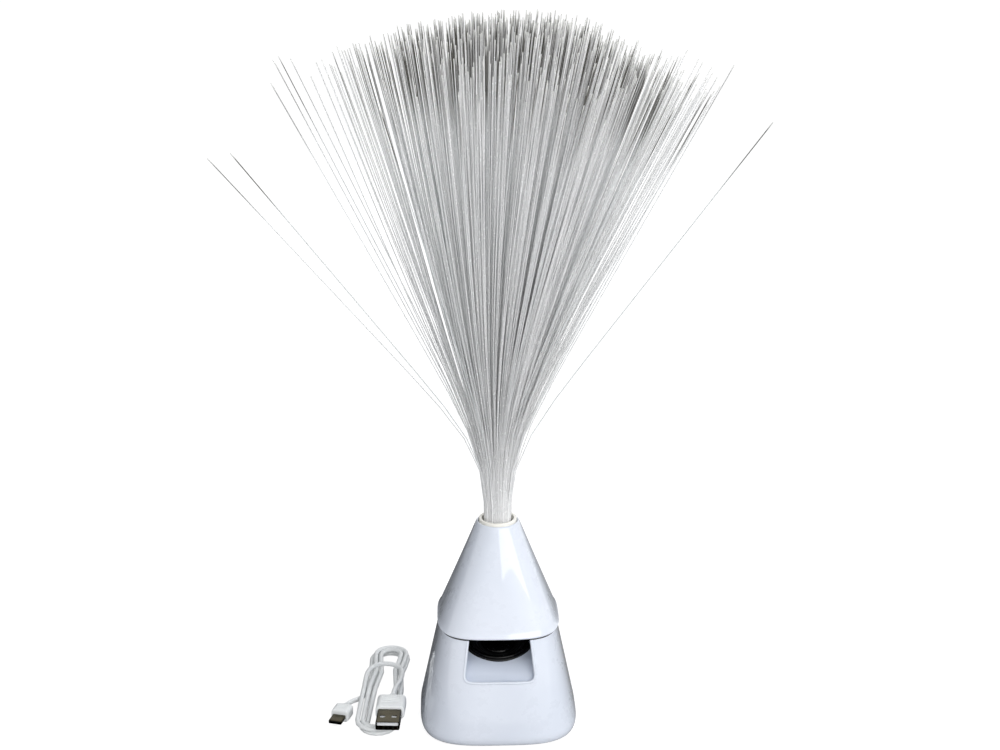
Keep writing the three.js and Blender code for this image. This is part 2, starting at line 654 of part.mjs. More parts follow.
function addSpeaker() {
  const group = new THREE.Group();
  group.position.set(0, speaker.y, speaker.z);
  group.rotation.x = speaker.tilt;
  root.add(group);
  const magnetTop = -speaker.basketDepth - speaker.basketWall - touch;
  const coilTop = coneZ(speaker.coilRadius + touch) + touch;
  piece('speaker_frame', makeSpeakerFrame(), 'black', group);
  piece('speaker_surround', makeSurround(), 'gloss', group);
  piece('speaker_cone', makeCone(), 'black', group);
  piece('speaker_dust_cap', makeDustCap(), 'gloss', group);
  piece('speaker_coil', tubePiece(speaker.coilRadius - speaker.coilWall, speaker.coilRadius,
    coilTop - speaker.coilLength, coilTop, 16), 'copper', group);
  piece('speaker_magnet', tubePiece(speaker.coilRadius + 3 * touch, speaker.magnetRadius,
    magnetTop - speaker.magnetThick, magnetTop, 16), 'magnet', group);
  piece('speaker_yoke', makeYoke(), 'steel', group);
}

// Light source under the fibres

function addLight() {
  const discHole = (z0, z1) => solid(post(smallScrew.hole, z0, z1, floor.postX, 0, 8))
    .add(solid(post(smallScrew.hole, z0, z1, -floor.postX, 0, 8)));
  const { boardZ, boardThick, boardRadius } = light;
  piece('light_board', solid(post(boardRadius, boardZ, boardZ + boardThick, 0, 0, rounds))
    .subtract(discHole(boardZ - overrun, boardZ + boardThick + overrun)), 'board');
  const flangeTop = holderZ + light.flangeThick;
  const tubeOut = collar.bore + light.tubeWall;
  piece('light_holder', solid(turned([
    [light.seatBore, holderZ], [boardRadius, holderZ], [boardRadius, flangeTop], [tubeOut, flangeTop],
    [tubeOut, collarBottomZ - touch], [collar.bore, collarBottomZ - touch], [collar.bore, seatZ],
    [light.seatBore, seatZ],
  ], rounds)).subtract(discHole(boardZ, flangeTop + overrun)), 'black');
  const { ledRadius, ledHeight } = light;
  const domeZ = holderZ + ledHeight - ledRadius;
  piece('led', turned([
    [0, holderZ], [ledRadius, holderZ], [ledRadius, domeZ],
    [ledRadius * cos(PI / 4), domeZ + ledRadius * sin(PI / 4)], [0, domeZ + ledRadius],
  ], 16), 'led');
  const length = flangeTop - (boardZ - smallScrew.bury);
  [floor.postX, -floor.postX].forEach((x, i) => {
    piece(`light_screw_${i + 1}`, screwDown(smallScrew, x, 0, flangeTop + touch, length), 'steel');
  });
}

// Fibre bundle

const sleeveOut = collar.bore - slip;
const sleeveIn = sleeveOut - fibre.sleeveWall;
const potRadius = sleeveIn - touch;
const bundleZ = seatZ + touch;
const sleeveTopZ = collarTopZ - fibre.sleeveDrop;
const potTopZ = sleeveTopZ - fibre.potDrop;

// A strand's centres from its root up: it leans by a share of its full lean in each stretch
function strandCentres(root2d, direction, lean, shift) {
  const centre = new THREE.Vector3(root2d.x, root2d.y, potTopZ - fibre.sink);
  const out = new THREE.Vector3(cos(direction), sin(direction), 0);
  const lengths = [fibre.sink + fibre.straight, fibre.bend, fibre.length - fibre.straight - fibre.bend];
  const centres = [centre.clone()];
  lengths.forEach((length, i) => {
    const share = fibre.leanShares[i];
    const angle = lean * share;
    centre.addScaledVector(out, length * sin(angle));
    centre.x += length * sin(shift * share);
    centre.z += length * cos(angle) * cos(shift * share);
    centres.push(centre.clone());
  });
  return centres;
}

// One three-sided strand over its centres, as a closed skin
function strandGeometry(centres) {
  const rings = centres.map((p) => [0, 1, 2].map((i) => new THREE.Vector3(
    p.x + fibre.radius * cos(i * 2 * PI / 3), p.y + fibre.radius * sin(i * 2 * PI / 3), p.z,
  )));
  return loft(rings);
}

function joined(geometries) {
  const places = [];
  const index = [];
  for (const geometry of geometries) {
    const offset = places.length / 3;
    places.push(...geometry.attributes.position.array);
    for (const corner of geometry.index.array) index.push(corner + offset);
  }
  const whole = new THREE.BufferGeometry();
  whole.setAttribute('position', new THREE.Float32BufferAttribute(places, 3));
  whole.setIndex(index);
  return whole;
}

function side(value) {
  return value < 0 ? -1 : 1;
}

// Roots on a sunflower spiral, so that neighbours keep one spacing. Each leans by its share of the radius.
function bundleStrands() {
  const strands = [];
  const goldenAngle = PI * (3 - sqrt(5));
  const fanRadius = potRadius - fibre.edgeGap - fibre.quarterShift;
  for (let i = 0; i < fibre.count; i += 1) {
    const share = sqrt((i + 0.5) / fibre.count);
    const angle = (i + 0.5) * goldenAngle;
    const place = new THREE.Vector2(fanRadius * share * cos(angle), fanRadius * share * sin(angle));
    place.x += fibre.quarterShift * side(place.x);
    place.y += fibre.quarterShift * side(place.y);
    strands.push(strandCentres(place, angle, fibre.spread * share, fibre.lean));
  }
  for (const [direction, lean] of strays) {
    const angle = direction * degree;
    const reach = potRadius - fibre.radius;
    const place = new THREE.Vector2(reach * cos(angle), reach * sin(angle));
    if (abs(place.x) < fibre.quarterShift) place.x = fibre.quarterShift * side(place.x);
    if (abs(place.y) < fibre.quarterShift) place.y = fibre.quarterShift * side(place.y);
    strands.push(strandCentres(place, angle, lean * degree, 0));
  }
  return strands;
}

function quarterPot(sx, sy) {
  const [near, far] = [touch / 2, potRadius + overrun];
  const quarter = block(near, far, near, far, bundleZ - overrun, potTopZ + overrun);
  quarter.rotateZ(atan2(sy, sx) - PI / 4);
  return solid(post(potRadius, bundleZ, potTopZ, 0, 0, rounds)).intersect(solid(quarter));
}

function addBundle() {
  piece('fibre_sleeve', tubePiece(sleeveIn, sleeveOut, bundleZ, sleeveTopZ), 'resin');
  const strands = bundleStrands();
  const names = { '1,1': 'back_right', '-1,1': 'back_left', '-1,-1': 'front_left', '1,-1': 'front_right' };
  for (const [sx, sy] of corners) {
    const own = strands.filter(([first]) => first.x * sx > 0 && first.y * sy > 0);
    const fused = solid(joined(own.map(strandGeometry))).add(quarterPot(sx, sy));
    piece(`fibres_${names[`${sx},${sy}`]}`, fused, 'fibre');
  }
}

// Electronics

function makeMainBoard() {
  let plate = solid(block(-boardHalf, boardHalf, boardFrontY, pushBackY, board.z, boardTopZ));
  for (const x of [boardPostX, -boardPostX]) {
    for (const y of boardPostYs) {
      plate = plate.subtract(solid(post(smallScrew.hole, board.z - overrun, boardTopZ + overrun, x, y, 6)));
    }
  }
  return plate;
}

function makeUsbSocket() {
  const { half, height, wall, depth, corner } = socket;
  const outline = roundedOutline(half, height / 2, corner);
  const hollow = roundedOutline(half - wall, height / 2 - wall, corner - wall);
  const shape = solid(pushedAlongY(outline, socketY - depth, socketY))
    .subtract(solid(pushedAlongY(hollow, socketY - depth + 2 * wall, socketY + overrun)));
  return shape.translate([0, 0, socketZ]);
}

function makeSlider() {
  const x = slider.x - slider.travel / 2;
  const outY = wallY(0, slider.x, sliderZ) + slider.proud;
  return block(x - slider.knobHalf, x + slider.knobHalf, sliderY + touch, outY,
    sliderZ - slider.knobHeight / 2, sliderZ + slider.knobHeight / 2);
}

const tactFrontY = pushBackY - push.plunger;

function makeTactSwitch() {
  const [rootY, tipY] = [tactFrontY - push.plunger, tactFrontY + push.plunger];
  return solid(block(push.x - push.half, push.x + push.half, tactFrontY - push.depth, tactFrontY,
    boardTopZ + touch, boardTopZ + touch + push.height))
    .add(solid(pinAlongY(push.plungerRadius, rootY, tipY, push.x, pushZ, 10)));
}

function makeModeButton() {
  const flangeY = pushY - push.flange;
  const outY = wallY(0, push.x, pushZ) + push.proud;
  return solid(pinAlongY(push.radius, flangeY, outY, push.x, pushZ, 12))
    .add(solid(pinAlongY(push.flangeRadius, flangeY, pushY, push.x, pushZ, 12)));
}

function addElectronics() {
  piece('main_board', makeMainBoard(), 'board');
  let count = 0;
  for (const x of [boardPostX, -boardPostX]) {
    for (const y of boardPostYs) {
      count += 1;
      piece(`board_screw_${count}`, screwDown(smallScrew, x, y, boardTopZ + touch, smallScrew.bury), 'steel');
    }
  }
  const cellHalfY = (cellBackY + cellRoom - battery.frontGap) / 2;
  const cellOutline = roundedOutline(cellRoom - battery.sideGap, cellHalfY, battery.corner);
  const cell = pushedUp(cellOutline, cellZ, cellZ + battery.thick);
  cell.translate(0, cellBackY - cellHalfY, 0);
  piece('battery', cell, 'cell');
  piece('usb_socket', makeUsbSocket(), 'shell');
  piece('switch_body', block(slider.x - slider.half, slider.x + slider.half, sliderY - slider.depth,
    sliderY, boardTopZ + touch, boardTopZ + touch + slider.height), 'shell');
  piece('power_switch_knob', makeSlider(), 'black');
  piece('tact_switch', makeTactSwitch(), 'black');
  piece('mode_button', makeModeButton(), 'housing');
  const statusY = wallY(0, status.x, socketZ);
  const statusPin = pinAlongY(status.radius, statusY - status.length, statusY, status.x, socketZ, 8);
  piece('status_light', statusPin, 'led');
}

// Leads inside the housing, from end to end
function addInnerLeads() {
  const toBoard = boardTopZ + touch;
  const batteryTop = cellZ + battery.thick + touch;
  const cellY = cellBackY - 4;
  const frontY = boardFrontY + 3;
  piece('battery_lead', roundTube([
    [10, cellY, batteryTop], [10, cellY, board.z], [10, cellY + 0.8, toBoard + 1.1],
    [10, cellY + 3.5, toBoard + 3.1], [10, frontY - 1.4, toBoard + 2.7], [10, frontY, toBoard + 1.5],
    [10, frontY, toBoard],
  ], lead.radius, lead.sides, lead.steps), 'red');
  const [y, z] = [speaker.y, speaker.z];
  piece('speaker_lead', roundTube([
    [0, y + 15, z - 3.7], [0, y + 17, z - 3.7], [0.4, y + 18.6, z - 5.1], [1.6, y + 19.2, z - 9.7],
    [4, y + 19.4, z - 16.7], [6, y + 19.4, toBoard + 4.6], [6, y + 19.4, toBoard],
  ], lead.radius, lead.sides, lead.steps), 'black');
  const backY = pushBackY - 10.4;
  const lightZ = light.boardZ;
  piece('light_lead', roundTube([
    [-8, backY, toBoard], [-8, backY, toBoard + 5.1], [-5, leadHoleY - 1.1, toBoard + 14.1],
    [-1, leadHoleY - 0.1, bodyScrew.bossTop - 4.3], [0, leadHoleY, bodyScrew.bossTop + 1.7],
    [0, leadHoleY, floorTopZ + 0.7], [0, leadHoleY - 2, floorTopZ + 6.7], [0, 13.5, lightZ - 4],
    [0, 10.4, lightZ - 2.2], [0, 10, lightZ - touch],
  ], lead.radius, lead.sides, lead.steps + lead.steps), 'black');
}

// Charging lead

const cordRadius = cord.diameter / 2;
const hankOuterHalf = hank.innerHalf + hank.step * hank.loops / 2;

// From the hank's own directions (right, along, up) to the lamp's
function fromHank([right, along, up]) {
  return [
    hank.x + right * cos(hank.lean) + along * sin(hank.lean),
    hank.y - right * sin(hank.lean) + along * cos(hank.lean),
    up,
  ];
}

function drawnIn(along) {
  return hank.drawIn * exp(-(((along - hank.waist) / hank.waistLength) ** 2));
}

// The hank's centre line after some loops: inwards on the floor, up a layer on the left run, outwards on top
function hankPoint(loops) {
  const turn = hank.loops / 2;
  const half = hank.innerHalf + hank.step * abs(loops - turn);
  const climb = min(1, max(0, (loops - turn) * 2 + 0.5));
  const up = cordRadius + hank.lift + climb * hank.step;
  const run = hank.halfLength - hankOuterHalf;
  const phase = (loops % 1 + 1) % 1;
  if (phase <= 1 / 8 || phase >= 7 / 8) {
    const along = run * 8 * (phase > 1 / 2 ? phase - 1 : phase);
    return [-half + drawnIn(along), along, up];
  }
  if (phase >= 3 / 8 && phase <= 5 / 8) {
    const along = run * 8 * (1 / 2 - phase);
    return [half - drawnIn(along), along, up];
  }
  const back = phase < 1 / 2;
  const angle = (phase - (back ? 1 / 8 : 5 / 8)) * 4 * PI;
  const draw = drawnIn(back ? run : -run);
  const side = back ? -1 : 1;
  return [side * (half - draw) * cos(angle), side * -(run + half * sin(angle)), up];
}

// Rings of a tube square to its centre line
function tubeOver(points, radius, sides) {
  const up = new THREE.Vector3(0, 0, 1);
  return loft(points.map((point, i) => {
    const before = points[max(0, i - 1)];
    const after = points[min(points.length - 1, i + 1)];
    const ahead = new THREE.Vector3().subVectors(after, before).normalize();
    const across = new THREE.Vector3().crossVectors(up, ahead).normalize();
    const over = new THREE.Vector3().crossVectors(ahead, across);
    const ring = [];
    for (let k = 0; k < sides; k += 1) {
      const angle = (k + 0.5) * 2 * PI / sides;
      const [sideways, upwards] = [radius * cos(angle), radius * sin(angle)];
      ring.push(point.clone().addScaledVector(across, sideways).addScaledVector(over, upwards));
    }
    return ring;
  }));
}

function hankLine() {
  const total = hank.loops * hank.stepsPerLoop;
  const line = [];
  for (let i = 0; i <= total; i += 1) {
    line.push(new THREE.Vector3(...fromHank(hankPoint(i / hank.stepsPerLoop))));
  }
  const along = new THREE.Vector3(sin(hank.lean), cos(hank.lean), 0);
  line.unshift(line[0].clone().addScaledVector(along, -cord.diameter));
  line.push(line[line.length - 1].clone().addScaledVector(along, cord.diameter));
  return line;
}

// The least gap between stretches of a cord that are over a loop's quarter apart along it
function leastGap(line) {
  let least = Infinity;
  for (let i = 0; i < line.length; i += 1) {
    for (let j = i + hank.stepsPerLoop / 4; j < line.length; j += 1) {
      least = min(least, line[i].distanceTo(line[j]));
    }
  }
  return least - cord.diameter;
}

function lengthOf(line) {
  let length = 0;
  for (let i = 1; i < line.length; i += 1) length += line[i].distanceTo(line[i - 1]);
  return length;
}

// A plug with its cord end at the origin and its mouth towards -Y, lying flat
function addPlug(name, size, place, heading) {
  const group = new THREE.Group();
  group.position.set(...place);
  group.rotation.z = heading;
  root.add(group);
  const { half, thick, length, corner, shellHalf, shellThick, shellLength, shellWall } = size;
  const body = pushedAlongY(roundedOutline(half, thick / 2, corner), -length, -size.neckLength);
  const neck = new THREE.CylinderGeometry(size.neckRadius, thick / 2, size.neckLength + size.neckSink, 12);
  neck.translate(0, -(size.neckLength + size.neckSink) / 2, 0);
  piece(`${name}_plug_body`, solid(body).add(solid(neck)), 'cord', group);
  const [y0, y1] = [-length - touch - shellLength, -length - touch];
  const outer = roundedOutline(shellHalf, shellThick / 2, shellWall * 2);
  const inner = roundedOutline(shellHalf - shellWall, shellThick / 2 - shellWall, shellWall);
  const shell = solid(pushedAlongY(outer, y0, y1))
    .subtract(solid(pushedAlongY(inner, y0 - overrun, y1 - shellWall)));
  piece(`${name}_plug_shell`, shell, 'shell', group);
  const tongueHalf = shellHalf - shellWall - touch;
  const tongueZ = shellThick / 2 - shellWall - touch;
  piece(`${name}_plug_tongue`, block(-tongueHalf, tongueHalf, y0 + size.tongueRecess, y1 - shellWall - touch,
    tongueZ - size.tongueThick, tongueZ), name === 'usb' ? 'cord' : 'black', group);
}

function addCable() {
  const line = hankLine();
  piece('cable_hank', tubeOver(line, cordRadius, hank.sides), 'cord');
  const lift = cordRadius + hank.lift;
  const topZ = lift + hank.step;
  const overZ = topZ + hank.step + 2 * touch;
  const usbZ = topZ + cordRadius + touch + usb.thick / 2;
  const outer = hankOuterHalf;
  const usbTail = [
    [-outer, cord.diameter + touch, topZ], [-outer, 5.2, topZ], [-10.2, 8.6, 5.5], [-9.2, 12.6, 6.7],
    [-6.5, 16.2, overZ], [-2.4, 18.3, overZ], [2.2, 18, overZ], [6, 15.7, overZ], [8.2, 11.7, overZ],
    [8.9, 6.8, overZ], [8.6, 1.5, overZ], [7.8, -4, 7.8], [7.1, -9.5, 8.7], [6.6, -14.5, usbZ],
    [6.5, -18, usbZ], [6.5, -20.4, usbZ],
  ].map(fromHank);
  const microZ = micro.thick / 2;
  const microTail = [
    [-outer, -cord.diameter - touch, lift], [-outer, -5.2, lift], [-11, -8.2, 1.6], [-12.7, -11.4, 2.3],
    [-14.9, -14.3, 2.9], [-16.6, -17.3, microZ], [-17.2, -19.8, microZ],
  ].map(fromHank);
  piece('cable_to_usb_plug', roundTube(usbTail, cordRadius, cord.sides, 26), 'cord');
  piece('cable_to_micro_plug', roundTube(microTail, cordRadius, cord.sides, 10), 'cord');
  const atEnd = (tail, gap) => {
    const [x, y, z] = tail[tail.length - 1];
    const [px, py] = tail[tail.length - 2];
    const reach = hypot(x - px, y - py);
    const heading = atan2(x - px, -(y - py));
    return [[x + gap * (x - px) / reach, y + gap * (y - py) / reach, z], heading];
  };
  addPlug('usb', usb, ...atEnd(usbTail, touch));
  addPlug('micro', micro, ...atEnd(microTail, touch));
  const tails = [usbTail, microTail].map((tail) => lengthOf(tail.map((p) => new THREE.Vector3(...p))));
  console.log(`hank: least gap ${leastGap(line).toFixed(2)} mm, length ${lengthOf(line).toFixed(0)} mm`);
  console.log(`cord in all ${(lengthOf(line) + tails[0] + tails[1]).toFixed(0)} mm`);
}

// Assembly

piece('lower_body', makeLowerBody(), 'housing');
piece('upper_cover', makeUpperCover(), 'housing');
const collarOut = collar.bore + collar.wall;
piece('collar_ring', turned([
  [collar.bore, collarBottomZ], [collarOut, collarBottomZ],
  [collarOut, collarTopZ - collar.edge], [collarOut - collar.edge, collarTopZ],
  [collar.bore + collar.edge, collarTopZ], [collar.bore, collarTopZ - collar.edge],
], 32), 'ivory');
piece('cover_floor', makeCoverFloor(), 'black');
corners.forEach(([sx, sy], i) => {
  piece(`cover_screw_${i + 1}`, screwUp(screw, sx * coverScrewPlace, sy * coverScrewPlace,
    floorBottomZ + floor.sinkDepth - touch, floor.thick - floor.sinkDepth + screw.bury), 'steel');
});
[bodyScrewX, -bodyScrewX].forEach((x, i) => {
  const z = bodyScrew.bossTop - bodyScrew.bossDrop - touch;
  piece(`body_screw_${i + 1}`, screwUp(screw, x, bodyScrew.y, z, floorBottomZ + bodyScrew.bury - z), 'steel');
});
piece('speaker_deck', makeDeck(), 'housing');
addSpeaker();
addLight();
addBundle();
addElectronics();
addInnerLeads();
piece('bottom_cover', makeBottomCover(), 'black');
corners.forEach(([sx, sy], i) => {
  piece(`base_screw_${i + 1}`, screwUp(screw, sx * baseScrewPlace, sy * baseScrewPlace,
    bottomTopZ - touch, screw.headThick + screw.bury), 'steel');
});
piece('rubber_pad', makePad(), 'rubber');
addCable();

export default root;
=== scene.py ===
"""Looks for the fibre optic lamp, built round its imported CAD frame.

Shapes are in millimetres, and `MM` turns them into metres. Materials, camera and stage are in metres.
"""

import json
import random
from math import acos, atan2, cos, dist, exp, pi, radians, sin, sqrt, tan

import bmesh
import bpy
from mathutils import Matrix, Vector


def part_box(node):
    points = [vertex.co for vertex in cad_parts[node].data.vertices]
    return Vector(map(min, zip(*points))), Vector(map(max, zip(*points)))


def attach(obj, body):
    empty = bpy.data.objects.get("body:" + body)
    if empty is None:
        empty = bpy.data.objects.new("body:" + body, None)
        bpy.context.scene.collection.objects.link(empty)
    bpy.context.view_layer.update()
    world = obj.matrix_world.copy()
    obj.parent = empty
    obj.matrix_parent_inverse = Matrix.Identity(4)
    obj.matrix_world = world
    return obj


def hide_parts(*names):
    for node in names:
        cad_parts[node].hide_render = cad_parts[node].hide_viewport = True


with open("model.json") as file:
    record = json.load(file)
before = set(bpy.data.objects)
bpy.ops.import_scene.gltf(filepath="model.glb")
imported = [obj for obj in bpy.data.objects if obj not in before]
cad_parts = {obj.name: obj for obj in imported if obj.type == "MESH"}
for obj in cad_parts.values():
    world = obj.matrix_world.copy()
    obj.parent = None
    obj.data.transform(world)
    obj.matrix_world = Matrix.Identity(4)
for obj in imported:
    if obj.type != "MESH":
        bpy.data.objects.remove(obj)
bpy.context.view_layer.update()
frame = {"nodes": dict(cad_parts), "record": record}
MM = 0.001
scene = bpy.context.scene


# Camera, as the photograph was taken

SENSOR_WIDTH, LENS = 36, 63.13
CAMERA_PLACE = (-0.0243, -0.8050, 0.4440)
CAMERA_DOWN, CAMERA_RIGHT = 18.07, 1.81  # degrees
CLIP_START, CLIP_END = 0.05, 20


def add(name, data):
    obj = bpy.data.objects.new(name, data)
    scene.collection.objects.link(obj)
    return obj


def add_camera():
    data = bpy.data.cameras.new("camera")
    data.sensor_width = SENSOR_WIDTH
    data.lens = LENS
    data.clip_start = CLIP_START
    data.clip_end = CLIP_END
    camera = add("camera", data)
    camera.location = CAMERA_PLACE
    camera.rotation_euler = (radians(90 - CAMERA_DOWN), 0, radians(-CAMERA_RIGHT))
    scene.camera = camera


add_camera()
scene.view_settings.view_transform = "Standard"


# Lines

def even(start, end, steps):
    """Even steps, both ends included."""
    return [start + (end - start) * i / steps for i in range(steps + 1)]


def round_angles(count):
    return [i / count * 2 * pi for i in range(count)]


def smoothstep(low, high, value):
    t = min(1, max(0, (value - low) / (high - low)))
    return t * t * (3 - 2 * t)


def arc(cx, cz, radius, start, end, steps, rise=None):
    """Points on an arc from one angle to another, in degrees. A rise of its own makes it elliptical."""
    angles = [radians(a) for a in even(start, end, steps)]
    return [(cx + radius * cos(a), cz + (rise or radius) * sin(a)) for a in angles]


def bent(start, corner, end, steps):
    """Points on a soft bend between two straight lines that would meet at a corner."""
    return [tuple((1 - t) ** 2 * a + 2 * t * (1 - t) * b + t * t * c for a, b, c in zip(start, corner, end))
            for t in even(0, 1, steps)]


def rounded(half_x, half_z, radius, steps=6):
    """A rounded rectangle in X and Z round the origin."""
    line = []
    for side_x, side_z, start in ((1, 1, 0), (-1, 1, 90), (-1, -1, 180), (1, -1, 270)):
        line += arc(side_x * (half_x - radius), side_z * (half_z - radius), radius, start, start + 90, steps)
    return line


def square_ring(half, squareness, z, count=160):
    """A ring round Z between a circle (squareness 2) and a square, with even steps along its edge."""
    ring = []
    for i in range(count):
        t = (i + 0.5) / count * 2 * pi
        c, s = cos(t), sin(t)
        r = half * (abs(c) ** squareness + abs(s) ** squareness) ** (-1 / squareness)
        ring.append((r * c, r * s, z))
    return ring


def smooth_line(points, steps):
    """A Catmull-Rom curve through points, with some steps between each two."""
    p = [Vector(v) for v in points]
    p = [2 * p[0] - p[1]] + p + [2 * p[-1] - p[-2]]
    line = []
    for a, b, c, d in zip(p, p[1:], p[2:], p[3:]):
        for k in range(steps):
            t = k / steps
            line.append(0.5 * (2 * b + (c - a) * t + (2 * a - 5 * b + 4 * c - d) * t * t
                               + (3 * b - a - 3 * c + d) * t ** 3))
    line.append(p[-2])
    return line


def directions(line):
    last = len(line) - 1
    return [(line[min(i + 1, last)] - line[max(i - 1, 0)]).normalized() for i in range(last + 1)]


def ring_round(point, across, over, radius, sides):
    return [tuple(point + radius * (across * cos(a) + over * sin(a))) for a in round_angles(sides)]


def tube(points, radius, sides):
    """Rings square to a line of points, turned as little as may be."""
    line = [Vector(p) for p in points]
    ahead = directions(line)
    side = ahead[0].orthogonal().normalized()
    rings = []
    for point, along in zip(line, ahead):
        side = (side - along * side.dot(along)).normalized()
        rings.append(ring_round(point, side, along.cross(side), radius, sides))
    return rings


# Meshes

SHARP_ANGLE = 40
ON_AXIS = 1e-6


def shade(mesh, sharp):
    mesh.shade_smooth()
    mesh.set_sharp_from_angle(angle=radians(sharp))


def new_object(name, points, faces, smooth=True, sharp=SHARP_ANGLE):
    mesh = bpy.data.meshes.new(name)
    mesh.from_pydata([[v * MM for v in p] for p in points], [], faces)
    mesh.validate()
    if smooth:
        shade(mesh, sharp)
    return add(name, mesh)


def fix_normals(obj):
    bm = bmesh.new()
    bm.from_mesh(obj.data)
    bmesh.ops.recalc_face_normals(bm, faces=bm.faces)
    bm.to_mesh(obj.data)
    bm.free()
    return obj


def loft(rings, closed=False):
    """Points and faces of a skin over rings of equal count, with caps unless it closes on itself."""
    count = len(rings[0])
    points = [p for ring in rings for p in ring]
    faces = []
    bands = len(rings) if closed else len(rings) - 1
    for i in range(bands):
        low, high = i * count, (i + 1) % len(rings) * count
        for j in range(count):
            k = (j + 1) % count
            faces.append((low + j, low + k, high + k, high + j))
    if not closed:
        faces.append(tuple(reversed(range(count))))
        faces.append(tuple(range((len(rings) - 1) * count, len(rings) * count)))
    return points, faces


def skin(name, rings, closed=False, **shading):
    return fix_normals(new_object(name, *loft(rings, closed), **shading))


def turned(name, profile, sides=96, sharp=SHARP_ANGLE, closed=True):
    """A profile of (radius, z) turned round Z. A closed one is a ring, an open one ends on the axis."""
    points, faces, rows = [], [], []
    for r, z in profile:
        if r < ON_AXIS:
            rows.append([len(points)] * sides)
            points.append((0, 0, z))
        else:
            rows.append(range(len(points), len(points) + sides))
            points += [(r * cos(a), r * sin(a), z) for a in round_angles(sides)]
    for low, high in zip(rows, rows[1:] + rows[:1] if closed else rows[1:]):
        for j in range(sides):
            k = (j + 1) % sides
            face = list(dict.fromkeys((low[j], low[k], high[k], high[j])))
            if len(face) > 2:
                faces.append(face)
    return fix_normals(new_object(name, points, faces, sharp=sharp))


def pushed(name, outline, axis, low, high):
    """An outline in two axes pushed along the third, which is 0, 1 or 2 for X, Y or Z."""
    rings = [[point[:axis] + (at,) + point[axis:] for point in outline] for at in (low, high)]
    return skin(name, rings, smooth=False)


def block(name, half_x, y0, y1, z0, z1, x=0.0):
    points = [(x + side * half_x, y, z) for z in (z0, z1) for y in (y0, y1) for side in (-1, 1)]
    faces = [(0, 1, 3, 2), (4, 6, 7, 5), (0, 4, 5, 1), (2, 3, 7, 6), (0, 2, 6, 4), (1, 5, 7, 3)]
    return fix_normals(new_object(name, points, faces, smooth=False))


def bar(name, half_x, half_z, corner, y0, y1, z=0.0, edge=0.0):
    """A rounded bar along Y, whose ends are softened by an edge radius."""
    least_corner = 0.05
    end = arc(edge, edge, edge, 180, 270, 4) if edge else [(0, 0)]
    places = [(y0 + depth, back) for depth, back in end]
    places += [(y1 - depth, back) for depth, back in reversed(end)]
    rings = []
    for y, back in places:
        line = rounded(half_x - back, half_z - back, max(least_corner, corner - back), 8)
        rings.append([(x, y, up + z) for x, up in line])
    return skin(name, rings)


def folded_shell(name, half_x, half_z, corner, wall, y0, y1):
    """A plug's metal shell: a tube whose mouth, at y0, is slightly rounded."""
    round_off, least_corner = 0.08, 0.1
    steps = [(y1, 0), (y0 + 1.2, 0), (y0 + 0.35, 0), (y0, -round_off), (y0, -wall + 0.1),
             (y0 + 0.5, -wall + 0.06), (y0 + 1.4, -wall), (y1, -wall)]
    rings = []
    for y, grow in steps:
        line = rounded(half_x + grow, half_z + grow, max(least_corner, corner + grow), 6)
        rings.append([(x, y, z) for x, z in line])
    return skin(name, rings, closed=True)


def combine(obj, other, operation):
    """Changes an object by a second one, which goes."""
    modifier = obj.modifiers.new("combine", "BOOLEAN")
    modifier.operation = operation
    modifier.solver = "EXACT"
    modifier.object = other
    graph = bpy.context.evaluated_depsgraph_get()
    mesh = bpy.data.meshes.new_from_object(obj.evaluated_get(graph))
    old = obj.data
    obj.modifiers.clear()
    obj.data = mesh
    bpy.data.meshes.remove(old)
    shade(mesh, SHARP_ANGLE)
    bpy.data.objects.remove(other)


def cut(obj, cutter):
    combine(obj, cutter, "DIFFERENCE")


def place(obj, matrix):
    obj.data.transform(matrix)


def move(to, angle=0, axis="Z"):
    """The matrix of a turn round an axis and then a move in millimetres."""
    return Matrix.Translation(Vector(to) * MM) @ Matrix.Rotation(angle, 4, axis)


# Materials

MIX_FACTOR, MIX_FIRST, MIX_SECOND, MIX_RESULT = 0, 6, 7, 2
NOISE_LOW, NOISE_HIGH = 0.3, 0.7  # noise lies between these for the most part


def linear(code):
    """An sRGB colour code as linear red, green, blue, alpha."""
    values = [(code >> shift & 255) / 255 for shift in (16, 8, 0)]
    return tuple(v / 12.92 if v <= 0.04045 else ((v + 0.055) / 1.055) ** 2.4 for v in values) + (1,)


def grey(level):
    return (level, level, level, 1)


class Tree:
    """A node tree with short ways to add and feed nodes."""

    def __init__(self, tree):
        self.tree = tree

    def feed(self, value, target):
        """Links a socket to its target, or sets the target's own value."""
        if isinstance(value, bpy.types.NodeSocket):
            self.tree.links.new(value, target)
        else:
            target.default_value = value

    def node(self, kind, inputs=(), **values):
        """A shader node with its inputs fed by name or number."""
        node = self.tree.nodes.new("ShaderNode" + kind)
        for key, value in values.items():
            setattr(node, key, value)
        for key, value in dict(inputs).items():
            self.feed(value, node.inputs[key])
        return node

    def mapped(self, source, low, high, out_low, out_high, **values):
        inputs = {"Value": source, "From Min": low, "From Max": high, "To Min": out_low, "To Max": out_high}
        return self.node("MapRange", inputs, **values).outputs["Result"]

    def mixed(self, factor, first, second):
        """A colour between two, each a colour code or a socket."""
        first, second = [linear(v) if isinstance(v, int) else v for v in (first, second)]
        inputs = {MIX_FACTOR: factor, MIX_FIRST: first, MIX_SECOND: second}
        return self.node("Mix", inputs, data_type="RGBA").outputs[MIX_RESULT]


